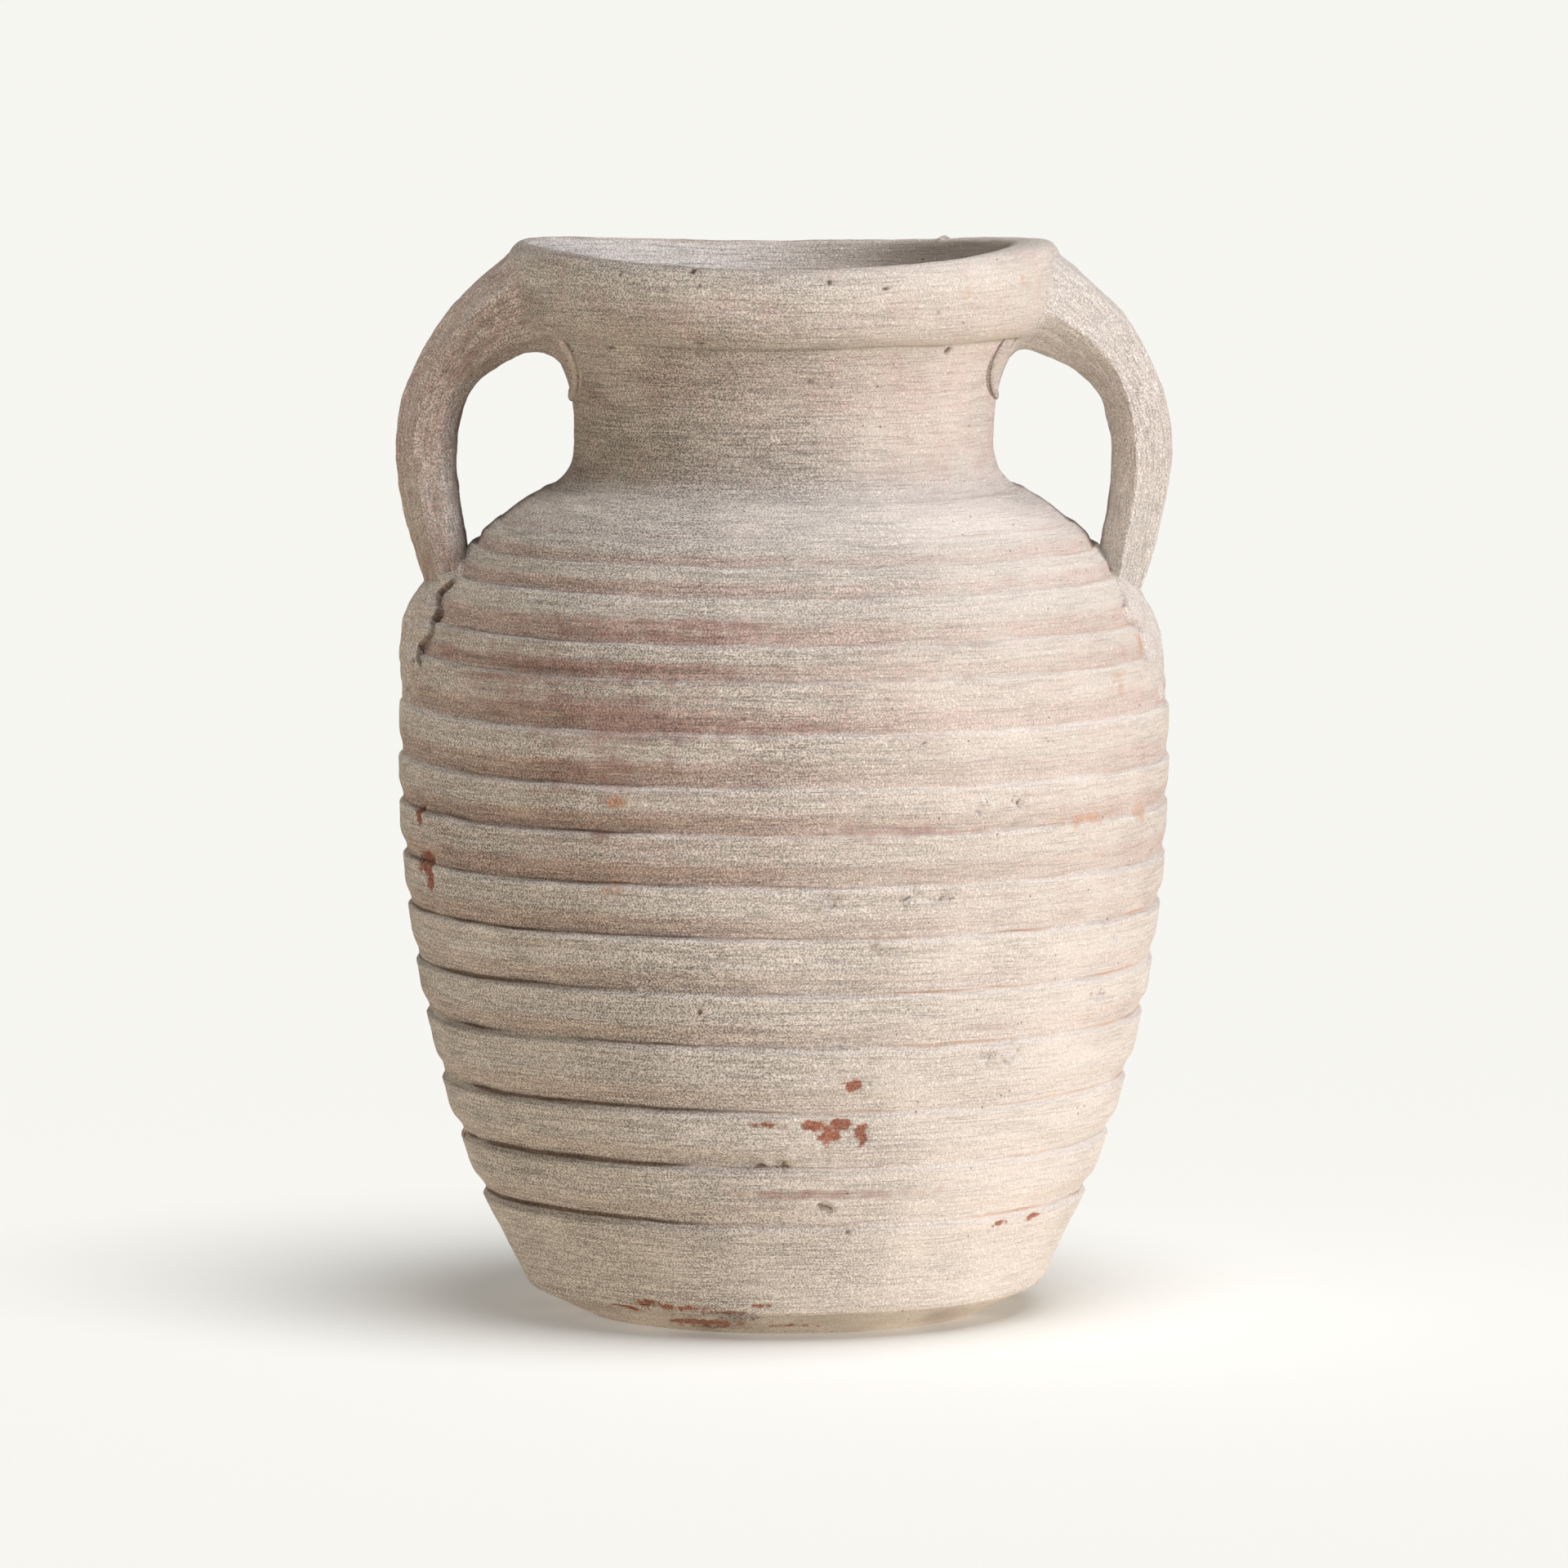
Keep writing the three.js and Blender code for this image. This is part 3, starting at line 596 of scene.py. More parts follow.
def crease_relief(points, climb):
    """The groove where the rolled rim sits on the neck, with a second faint one under it."""
    drift = noise(points * np.array([1.0, 1.0, 0.0]), "crease_drift")
    upper = np.exp(-(((climb - RIM_CLIMB - drift) / CREASE_WIDTH) ** 2))
    fade = 0.5 + noise(points, "crease_fade")
    lower = np.exp(-(((climb - RIM_CLIMB + LOWER_CREASE_DROP - drift) / CREASE_WIDTH) ** 2)) * fade
    return upper, 0.5 * lower


def rim_lift(angle, height):
    """How far the rim rises and swells towards the handles, which pull it up."""
    up = smooth_step(RIM_SEAM + RIM_RISE_START, RIM_TOP, height)
    side = np.sin(angle) ** 2
    rise = up * (RIM_SIDE_RISE * side - RIM_FRONT_DROP)
    swollen = smooth_step(RIM_SEAM + RIM_SWELL_START, RIM_SEAM + RIM_SWELL_END, height)
    return rise, swollen * RIM_SIDE_SWELL * side**5


def wall_marks(base, flat, streaks):
    """How strongly each kind of mark shows at each point of the wall."""
    ragged = noise(flat, "ragged") + noise(flat, "fine_ragged")
    torn = noise(flat, "torn") + noise(streaks, "torn_streaks") + noise(flat, "fine_torn")
    smeared = noise(streaks, "stain_streaks") + noise(streaks, "stain_bands") + ragged
    return {
        "chip": mark_field(base, CHIP_SHARES, torn),
        "stain": mark_field(base, STAIN_SHARES, smeared),
        "ochre": mark_field(base, OCHRE_SHARES, noise(streaks, "ochre_streaks") + ragged),
        "crumb": np.clip(mark_field(base, CRUMB_SHARES, ragged), 0, 1),
        "pit": np.clip(mark_field(base, PIT_SHARES, 0.0), 0, 1),
        "blob": np.clip(mark_field(base, BLOB_SHARES, 0.4 * ragged), 0, 1),
    }


def wall_relief(flat, streaks, climb, ribs, creases, marks):
    """How far the clay stands out at each point, and the crumbs' own part of that."""
    shape = bpy.context.scene.vase_shape
    relief, _, groove, _ = ribs
    settle = smooth_step(0.0, SETTLE_CLIMB, climb)
    lumps = shape.lump_depth * noise(flat, "lumps")
    lines = noise(streaks, "lines") + noise(streaks, "fine_lines")
    lines = shape.line_depth * lines * (0.6 + noise(flat, "line_strength"))
    grit = shape.grit_depth * (noise(flat, "grit") + noise(flat, "fine_grit"))
    edge_crumble = groove * noise(flat, "edge_crumble")
    crumble = CRUMB_DEPTH * smooth_step(0.0, 0.4, marks["crumb"]) * (noise(flat, "crumbs") - 0.1)
    total = relief + lumps + (lines + grit) * settle + edge_crumble + crumble
    total = total - CREASE_DEPTH * (creases[0] + creases[1])
    total = total - CHIP_DEPTH * smooth_step(-0.05, 0.15, marks["chip"])
    total = total - PIT_DEPTH * smooth_step(0.0, 0.7, marks["pit"])
    total = total + BLOB_RISE * smooth_step(0.0, 0.8, marks["blob"])
    total = total - STAIN_DEPTH * smooth_step(0.0, 0.6, marks["stain"])
    return total * np.maximum(smooth_step(0.0, STANDING_CLIMB, climb), 0.02), crumble


def rim_shift(angle, climb, height):
    """How far the rim's pull and the lip's thickening on the right move each point."""
    rise, swell = rim_lift(angle, height)
    end = OUTLINE.climb[-1]
    inner = smooth_step(OUTLINE.lip - LIP_LEAD, OUTLINE.lip + LIP_RUN, climb)
    inner = inner * (1 - smooth_step(end - THROAT_FADE, end, climb))
    swell = swell - inner * LIP_THICKENING * np.clip(np.sin(angle), 0, 1) ** 4
    return round_points(angle, swell, rise)


def wall_shade_and_pits(angle, height, flat, climb, ribs, creases, marks, crumble):
    """Where painted shade darkens the wall, in its grooves, creases, crumb crevices, neck foot, bevel and
    the right of the throat, where pits are darker, and where a groove shows bare clay instead.
    """
    strong = round_share(flat, 1)
    lit_side_share = lit_side(flat)
    groove = ribs[2]
    # Painted shade in the crevices between the crumbs
    crevice = np.clip(-crumble / CRUMB_DEPTH, 0, 1) * smooth_step(0.0, 0.3, marks["crumb"])
    low = 1 - smooth_step(0.3, 0.55, height / RIM_TOP)
    # Painted shade in the grooves over the rib edges, strongest where the ribs are strong on the shaded left
    # and on the lower body, lighter on the lit side
    dirt = (0.4 + 0.7 * low * strong) * groove * np.clip(0.6 + noise(flat, "groove_shade"), 0, 1) * strong
    bare = np.clip(0.5 + noise(flat, "bare_clay"), 0, 1) * groove * lit_side_share
    # Painted shade on the downward-facing bevel at the foot
    on_bevel = 1 - smooth_step(FOOT_RISE_CLIMB - BEVEL_EDGE, FOOT_RISE_CLIMB + BEVEL_EDGE, climb)
    dirt = dirt * (1 - 0.45 * lit_side_share) + 1.5 * marks["pit"] + on_bevel * (0.34 + noise(flat, "bevel_shade"))
    # Painted shade in the concave foot of the neck, above the ledge
    neck_foot_shade = np.exp(-(((climb - NECK_CLIMB) / NECK_LEDGE_WIDTH - 2.0) ** 2) / 2)
    # Painted shade: in the crumb crevices, along the two creases under the rim and in the neck's foot
    dirt = dirt + 0.35 * crevice + 0.6 * creases[0] + 0.45 * creases[1] + 0.12 * neck_foot_shade
    throat = smooth_step(OUTLINE.lip + LIP_LEAD, OUTLINE.lip + LIP_RUN, climb)
    # Painted shade on the right inside of the throat
    return dirt + 0.55 * throat * smooth_step(0.0, 0.6, np.sin(angle)), bare, throat


def wall_fields(angle, height, flat, streaks, climb, ribs, creases, marks, crumble):
    """What the slip shows at each point of the wall, with its painted shade and painted highlights."""
    strong = round_share(flat, 1)
    _, cove, _, lip = ribs
    dirt, bare, throat = wall_shade_and_pits(angle, height, flat, climb, ribs, creases, marks, crumble)
    # Pink clay in the coves, deepened on the front left as painted shade
    cove_pink_and_shade = cove * np.clip(strong, 0, 1.15) ** 2 * np.clip(0.85 + noise(flat, "cove_pink_and_shade"), 0, 1.2)
    blush = share_at(BLUSH_SHARES, height) + 0.9 * cove_pink_and_shade - 0.35
    blush = blush + noise(flat, "blush_clouds") + noise(streaks, "blush_streaks")
    # Painted highlight on the rib lips and the neck's ledge, strongest where the ribs are strong, on the
    # front left
    pale = 0.55 * lip * strong * np.clip(0.8 + noise(flat, "lip_highlight"), 0, 1)
    pale = share_at(PALE_SHARES, height) + pale + noise(streaks, "pale_streaks")
    # Painted shade: the coves are made less pale where the ribs are strong, on the front left
    pale = pale + marks["crumb"] - 0.25 * cove * (strong - 0.6)
    return {
        "blush": blush, "stain": marks["stain"], "ochre": np.maximum(marks["ochre"], 0.95 * bare - 0.12),
        # The coves' peach tint, partly painted shade, weaker on the lit front right
        "chip": marks["chip"], "dirt": dirt, "cove": cove * np.clip(strong, 0, 1),
        # Painted light on the left inside of the throat, where the lamp from the right falls
        "pale": pale + 1.6 * throat * np.clip(0.2 - np.sin(angle), 0, 1), "crumb": marks["crumb"],
        "sand": round_share(flat, 2) * (1 + noise(flat, "sand_patches")), "grain": streaks,
    }


def wall_surface(angle, climb):
    """The dressed outside at a grid of angles and climbs: its points and what the slip shows there."""
    shape = bpy.context.scene.vase_shape
    radius, height, _, _ = OUTLINE.at(climb)
    flat = round_points(angle, radius, height)
    stray = noise(flat, "sway") + noise(flat, "fine_sway")
    sway = smooth_step(0.0, SETTLE_CLIMB, climb) * shape.sway * stray
    radius, height, out, up = OUTLINE.at(np.clip(climb + sway, 0, OUTLINE.climb[-1]))
    base = round_points(angle, radius, height)
    streaks = streak_place(flat, climb)
    ribs = rib_relief(flat, climb)
    creases = crease_relief(flat, climb)
    marks = wall_marks(base, flat, streaks)
    relief, crumble = wall_relief(flat, streaks, climb, ribs, creases, marks)
    points = base + round_points(angle, out, up) * relief[..., None] + rim_shift(angle, climb, height)
    return points, wall_fields(angle, height, flat, streaks, climb, ribs, creases, marks, crumble)


def share_at(shares, height):
    """A share that changes with the height, as a share of the vase's."""
    table = np.array(shares)
    return np.interp(height / RIM_TOP, table[:, 0], table[:, 1])


def inner_surface(angle, climb):
    """The inside of the wall, one thickness in from the outside at each climb."""
    shape = bpy.context.scene.vase_shape
    radius, height, out, up = OUTLINE.at(climb)
    level = smooth_step(NECK_CLIMB - INNER_NECK_BEND, NECK_CLIMB, climb)
    out = out + (1 - out) * level
    up = up * (1 - level)
    length = np.hypot(out, up)
    inner_radius = radius - WALL_THICKNESS * out / length
    inner_height = height - WALL_THICKNESS * up / length
    base = round_points(angle, inner_radius, inner_height)
    streaks = streak_place(base, climb)
    relief = 3 * shape.line_depth * noise(streaks, "inner_lines")
    relief = relief + shape.lump_depth * noise(base, "inner_lumps")
    points = base - round_points(angle, out / length, up / length) * relief[..., None]
    return points, plain_fields(points, streaks, 0.35)


def plain_fields(points, streaks, pinkness):
    """What the slip shows on a surface without marks."""
    nothing = np.zeros(points.shape[:-1])
    blush = pinkness + noise(points, "plain_blush") + noise(streaks, "plain_streaks")
    away = nothing + NO_MARK
    return {
        "blush": blush, "stain": away, "ochre": away, "chip": away,
        "dirt": nothing, "cove": nothing, "pale": nothing, "crumb": nothing,
        "sand": nothing + 1.0, "grain": streaks,
    }


def joined(parts):
    """Rows of several surfaces as one grid, with their fields."""
    points = np.concatenate([part[0] for part in parts])
    fields = {key: np.concatenate([part[1][key] for part in parts]) for key in parts[0][1]}
    return points, fields


def ring_faces(rows, columns, closed):
    """Quads of a grid whose columns run all the way round, and whose rows may too."""
    row = np.arange(rows if closed else rows - 1)[:, None] * columns
    next_row = (row + columns) % (rows * columns)
    column = np.arange(columns)[None, :]
    next_column = (column + 1) % columns
    corners = [row + column, row + next_column, next_row + next_column, next_row + column]
    return np.stack(corners, axis=-1).reshape(-1, 4)


def fan_faces(centre, ring):
    """Triangles from a centre to a ring of points."""
    return [(centre, int(a), int(b)) for a, b in zip(ring, np.roll(ring, -1))]


def signed_volume(points, quads):
    """Volume inside a closed skin of quads: negative if they face in."""
    a, b, c, d = [points[quads[:, corner]] for corner in range(4)]
    return np.einsum("ij,ij->i", a, np.cross(b, c) + np.cross(c, d)).sum() / 6


def make_piece(name, node, grid, fields, closed, capped=False, sharp_rows=()):
    """A mesh piece from a grid of points, which takes a node's place."""
    rows, columns = grid.shape[:2]
    points = grid.reshape(-1, 3)
    quads = ring_faces(rows, columns, closed)
    values = {key: field.reshape(-1, *field.shape[2:]) for key, field in fields.items()}
    fans = []
    if capped:
        for row, reverse in ((0, False), (rows - 1, True)):
            ring = np.arange(columns) + row * columns
            centre = len(points)
            points = np.vstack([points, points[ring].mean(axis=0)])
            for key, value in values.items():
                values[key] = np.concatenate([value, value[ring].mean(axis=0)[None]])
            fans += fan_faces(centre, ring[::-1] if reverse else ring)
    inside_out = signed_volume(points, quads) < 0
    faces = quads[:, ::-1].tolist() if inside_out else quads.tolist()
    faces += [face if inside_out else face[::-1] for face in fans]
    mesh = bpy.data.meshes.new(name)
    mesh.from_pydata(points.tolist(), [], faces)
    mesh.shade_smooth()
    mark_sharp(mesh, columns, sharp_rows)
    for key, value in values.items():
        paint(mesh, key, value)
    piece = bpy.data.objects.new(name, mesh)
    bpy.context.scene.collection.objects.link(piece)
    piece.data.materials.append(slipped_clay())
    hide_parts(node)
    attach(piece, "root")
    return piece


def mark_sharp(mesh, columns, sharp_rows):
    """Keeps the shading apart along some rows of the grid."""
    if not sharp_rows:
        return
    ends = np.empty(len(mesh.edges) * 2, dtype=np.int64)
    mesh.edges.foreach_get("vertices", ends)
    row = ends.reshape(-1, 2) // columns
    along = row[:, 0] == row[:, 1]
    sharp = along & np.isin(row[:, 0], sharp_rows)
    attribute = mesh.attributes.new("sharp_edge", "BOOLEAN", "EDGE")
    attribute.data.foreach_set("value", sharp)


def paint(mesh, key, value):
    """Stores a number or a place at each vertex, for the material."""
    if value.ndim == 1:
        attribute = mesh.attributes.new(key, "FLOAT", "POINT")
        attribute.data.foreach_set("value", value.astype(np.float32))
    else:
        attribute = mesh.attributes.new(key, "FLOAT_VECTOR", "POINT")
        attribute.data.foreach_set("vector", value.astype(np.float32).ravel())


def all_round(columns):
    """Angles of the columns round the vessel."""
    return np.linspace(-math.pi, math.pi, columns, endpoint=False)[None, :]


def make_section(node, first, last):
    """A thrown section between two climbs: its outside, its inside and the two seams' faces."""
    shape = bpy.context.scene.vase_shape
    angle = all_round(shape.columns)
    climbs = rows_between(first, last, shape.row_spacing)[:, None]
    outside = wall_surface(*np.broadcast_arrays(angle, climbs))
    inner_rows = max(3, round((last - first) / INNER_ROW_SPACING))
    inner_climbs = np.linspace(last, first, inner_rows)[:, None]
    inside = inner_surface(*np.broadcast_arrays(angle, inner_climbs))
    grid, fields = joined([outside, inside])
    outer_last = len(climbs) - 1
    sharp_rows = (0, outer_last, outer_last + 1, len(grid) - 1)
    return make_piece(f"slipped_{node}", node, grid, fields, True, sharp_rows=sharp_rows)


def make_rim():
    """The rolled rim, from its seam over the lip down to the foot of the throat."""
    shape = bpy.context.scene.vase_shape
    angle = all_round(shape.columns)
    end = OUTLINE.climb[-1]
    climbs = rows_between(RIM_CLIMB, end, shape.row_spacing)[:, None]
    grid, fields = wall_surface(*np.broadcast_arrays(angle, climbs))
    return make_piece("slipped_rolled_rim", "rolled_rim", grid, fields, True,
                      sharp_rows=(0, len(grid) - 1))


def make_floor():
    """The floor slab: its flat underside, the knife-cut bevel and its top inside the vessel."""
    shape = bpy.context.scene.vase_shape
    angle = all_round(shape.columns)
    seam = OUTLINE.climb_to(FLOOR_SEAM)
    climbs = rows_between(0.0, seam, shape.row_spacing)[:, None]
    rim_points, rim_fields = wall_surface(*np.broadcast_arrays(angle, climbs))
    rings = np.linspace(*SLAB_RING_SHARES, SLAB_RINGS)[:, None]
    under = slab_face(angle, rings, rim_points[0], 0.0)
    rings = np.linspace(*SLAB_RING_SHARES[::-1], SLAB_RINGS)[:, None]
    top = slab_face(angle, rings, rim_points[-1], shape.lump_depth)
    grid, fields = joined([under, (rim_points, rim_fields), top])
    last_under = SLAB_RINGS - 1
    first_top = SLAB_RINGS + len(climbs)
    return make_piece("trimmed_floor_slab", "floor_slab", grid, fields, False, capped=True,
                      sharp_rows=(last_under + 1, first_top - 1))


def slab_face(angle, share, ring, depth):
    """A flat disc inside a ring of points, with the throwing spiral in it if it has a depth."""
    middle = ring.mean(axis=0)
    points = middle + (ring[None] - middle) * share[..., None]
    points[..., 2] = ring[:, 2].mean()
    radius = np.hypot(points[..., 0], points[..., 1])
    spiral = np.sin(2 * np.pi * radius / SPIRAL_PITCH + angle) * smooth_step(0.0, SPIRAL_START, radius)
    points[..., 2] += depth * spiral * (1 - smooth_step(0.85, 0.99, share))
    return points, plain_fields(points, streak_place(points, radius), 0.3)


def handle_path(share):
    """Radius and height of the strap's centre line, and its direction."""
    reach = NECK_WAIST_RADIUS + FINGER_GAP + STRAP_THICKNESS / 2
    end_radius = float(wall_radius(np.array(END_HEIGHT))) - END_BURY
    drop = END_HEIGHT - ROOT_HEIGHT
    pulls = [
        (RIM_RADIUS - ROOT_BURY, ROOT_HEIGHT),
        (RIM_RADIUS + ROOT_PULL_SHARE * (reach - RIM_RADIUS), ROOT_HEIGHT + ROOT_PULL_DROP_SHARE * drop),
        (RIM_RADIUS + END_PULL_SHARE * (reach - RIM_RADIUS), ROOT_HEIGHT + END_PULL_DROP_SHARE * drop),
        (end_radius, END_HEIGHT),
    ]
    a, b, c, d = [np.array(pull) for pull in pulls]
    t = share[..., None]
    place = (1 - t) ** 3 * a + 3 * (1 - t) ** 2 * t * b + 3 * (1 - t) * t**2 * c + t**3 * d
    along = 3 * ((1 - t) ** 2 * (b - a) + 2 * (1 - t) * t * (c - b) + t**2 * (d - c))
    return place, along / np.linalg.norm(along, axis=-1, keepdims=True)


def along_strap(share, root, middle, end):
    """A size along the strap: its own at both ends, and the strap's between them."""
    from_root = np.clip(1 - share / ROOT_FLARE_SHARE, 0, 1) ** 2
    from_end = np.clip(1 - (1 - share) / END_FLARE_SHARE, 0, 1) ** 2
    return middle + (root - middle) * from_root + (end - middle) * from_end


def facet_reach(phi, share, facets):
    """How far out a faceted section with rounded edges lies at each direction."""
    total = 0.0
    blend = smooth_step(0.05, 0.4, share)
    for degrees, root_reach, reach in facets:
        distance = root_reach + (reach - root_reach) * blend
        total = total + np.clip(np.cos(phi - math.radians(degrees)) / distance, 0, None) ** FACET_POWER
    return total ** (-1 / FACET_POWER)


def grid_normals(grid):
    """Unit vectors square to a grid of points whose columns run all the way round."""
    down = np.gradient(grid, axis=0)
    across = np.roll(grid, -1, axis=1) - np.roll(grid, 1, axis=1)
    normal = np.cross(across, down)
    normal = normal / np.maximum(np.linalg.norm(normal, axis=-1, keepdims=True), SHORTEST)
    from_axis = grid - grid.mean(axis=1, keepdims=True)
    return normal if np.einsum("ijk,ijk->", normal, from_axis) > 0 else -normal


def near_wall(points):
    """How far points lie outside the vessel's smooth outline, and which way the outline faces there."""
    angle = np.arctan2(points[..., 0], -points[..., 1])
    rise, swell = rim_lift(angle, points[..., 2])
    radius = (np.hypot(points[..., 0], points[..., 1]) - swell).ravel()
    height = (points[..., 2] - rise).ravel()
    line = [values[::GAP_STRIDE] for values in (OUTLINE.radius, OUTLINE.height, OUTLINE.out, OUTLINE.up)]
    gap, out, up = np.empty((3, len(radius)))
    for block in np.array_split(np.arange(len(radius)), GAP_BLOCKS):
        across = radius[block, None] - line[0]
        above = height[block, None] - line[1]
        nearest = np.argmin(across**2 + above**2, axis=1)
        pick = (np.arange(len(block)), nearest)
        out[block], up[block] = line[2][nearest], line[3][nearest]
        gap[block] = across[pick] * out[block] + above[pick] * up[block]
    shape = points.shape[:-1]
    return gap.reshape(shape), round_points(angle, out.reshape(shape), up.reshape(shape))


def strap_surface(side, facets, share, phi):
    """Points of a smooth strap, by the share of its length and the direction round its section."""
    share, phi = np.broadcast_arrays(share, phi)
    place, along = handle_path(share)
    wander = np.stack([share * STRAP_LENGTH, phi * 0 + side, phi * 0], axis=-1)
    half_thickness = along_strap(share, STRAP_ROOT_THICKNESS, STRAP_THICKNESS, STRAP_END_THICKNESS) / 2
    half_width = along_strap(share, STRAP_ROOT_WIDTH, STRAP_WIDTH, STRAP_END_WIDTH) / 2
    reach = facet_reach(phi + STRAP_TWIST * noise(wander, "strap_twist"), share, facets)
    outward = half_thickness * reach * np.cos(phi)
    front = half_width * reach * np.sin(phi)
    radius = place[..., 0] - along[..., 1] * outward
    height = place[..., 1] + along[..., 0] * outward
    return np.stack([side * radius, -front, height], axis=-1)


def round_blur(values, steps):
    """Values round a closed loop, softened over some steps."""
    reach = np.arange(-3 * steps, 3 * steps + 1)
    weights = np.exp(-0.5 * (reach / steps) ** 2)
    shifted = [weight * np.roll(values, step, axis=0) for weight, step in zip(weights, reach)]
    return sum(shifted) / weights.sum()


def root_loops(side, facets, fillets, phi):
    """Where a strap's skin leaves the vessel: loops on the wall, at the crease and up on the strap."""
    probe = np.linspace(0, PROBE_SHARE, PROBE_STEPS)
    gap, _ = near_wall(strap_surface(side, facets, probe[:, None], phi[None, :]))
    buried = gap < 0
    last = np.where(buried.any(axis=0), PROBE_STEPS - 1 - np.argmax(buried[::-1], axis=0), 0)
    crease_share = round_blur(probe[last], LOOP_BLUR)
    crease = strap_surface(side, facets, crease_share, phi)
    ahead = strap_surface(side, facets, crease_share + probe[1], phi)
    normal = grid_normals(np.stack([crease, ahead]))[0]
    _, facing = near_wall(crease)
    away = normal - facing * np.einsum("ij,ij->i", normal, facing)[:, None]
    away = away / np.maximum(np.linalg.norm(away, axis=-1, keepdims=True), SHORTEST)
    table = np.array(fillets)
    reach = FILLET_REACH * np.interp(np.degrees(phi), table[:, 0], table[:, 1])
    on_wall = crease + away * reach[:, None]
    for _ in range(SNAP_ROUNDS):
        gap, facing = near_wall(on_wall)
        on_wall = on_wall - facing * gap[:, None]
    on_wall = round_blur(on_wall, LOOP_BLUR) - facing * FEATHER_SINK
    under = on_wall + away * FEATHER_SINK - facing * SKIRT_DEPTH
    strap_share = round_blur(crease_share + reach / STRAP_LENGTH, LOOP_BLUR)
    return under, on_wall, crease, strap_share


def strap_grid(side, facets, fillets):
    """A strap's skin: out of the vessel in a smooth fillet, then along to its lower end."""
    phi = np.linspace(0, 2 * math.pi, STRAP_COLUMNS, endpoint=False)
    under, on_wall, crease, strap_share = root_loops(side, facets, fillets, phi)
    on_strap = strap_surface(side, facets, strap_share, phi)
    part = np.linspace(0, 1, FILLET_ROWS, endpoint=False)[:, None, None]
    fillet = (1 - part) ** 2 * on_wall + 2 * part * (1 - part) * crease + part**2 * on_strap
    run = np.linspace(0, 1, STRAP_ROWS)[:, None]
    share = strap_share + (1 - strap_share) * run
    strap = strap_surface(side, facets, share, phi[None, :])
    fillet_share = strap_share * part[..., 0]
    shares = np.concatenate([fillet_share[:1], fillet_share, share])
    return np.concatenate([under[None], fillet, strap]), shares, np.broadcast_to(phi, shares.shape)


def make_handle(side, name, facets, fillets):
    """A pulled strap handle with its drawn striations and dents."""
    shape = bpy.context.scene.vase_shape
    smooth, share, phi = strap_grid(side, facets, fillets)
    girth = STRAP_GIRTH * np.cos(phi), STRAP_GIRTH * np.sin(phi)
    lines = np.stack([*girth, share * STREAK_RUN + side], axis=-1)
    relief = shape.lump_depth * noise(smooth, "strap_lumps")
    drawn = noise(lines, "strap_lines") + noise(lines, "fine_strap_lines")
    grit = noise(smooth, "strap_grit") + noise(smooth, "fine_strap_grit")
    relief = relief + 2.2 * shape.line_depth * drawn + 1.2 * shape.grit_depth * grit
    points = smooth + grid_normals(smooth) * relief[..., None]
    fields = plain_fields(points, lines, 0.0)
    fields["blush"] = fields["blush"] + share_at(BLUSH_SHARES, points[..., 2]) + 0.1
    stain = noise(smooth, "strap_stain") + noise(lines, "strap_stain_lines") - (0.35 if side < 0 else 0.75)
    fields["stain"] = np.clip(stain, NO_MARK, 1)
    # Painted shade on the strap's inner face, towards the neck; the pits are darker as well
    underside = smooth_step(0.2, 0.9, -np.cos(phi)) * smooth_step(0.05, 0.2, share)
    pits = smooth_step(0.45, 0.8, noise(smooth, "strap_pits"))
    mottle = 0.5 if side < 0 else 0.15
    fields["dirt"] = 0.4 * underside * (0.6 + noise(smooth, "strap_inner_shade")) + 0.7 * mottle * pits
    reach = facet_reach(phi, share, facets)
    ridge = smooth_step(1.02, 1.10, reach / reach.mean())
    # Painted shade: the left strap, on the shaded side, gets far less pale slip than the right; the mottle
    # and the paler worn ridge are the straps' own
    fields["pale"] = (0.05 if side < 0 else 0.8) + mottle * noise(smooth, "strap_mottle") + 0.4 * ridge
    fields["sand"] = fields["sand"] + (0.7 if side < 0 else 0.0)
    return make_piece(f"slipped_{name}", name, points, fields, False, capped=True)


def wad_fields(side, upper, base, streaks, inside, cracked, crack):
    """What the slip shows on a wad, with painted shade in its cracks and along its torn edge, and darker
    pits.
    """
    fields = plain_fields(upper, streaks, 0.3)
    # Painted shade in the cracks along the edge and in the splits
    crack_shade = np.exp(-(((inside - WAD_CRACK_SHADE_INSET) / WAD_CRACK_SHADE_WIDTH) ** 2)) * cracked**2
    pits = smooth_step(0.45, 0.8, noise(base, "wad_pits"))
    fields["dirt"] = np.clip(crack_shade + crack + (0.35 if side < 0 else 0.1) * pits, 0, 1)
    fields["pale"] = (0.3 if side < 0 else 0.6) + noise(base, "wad_pale")
    fields["sand"] = fields["sand"] + (0.6 if side < 0 else -0.3)
    fields["stain"] = np.clip(noise(base, "wad_stain") - 0.6, NO_MARK, 1)
    return fields


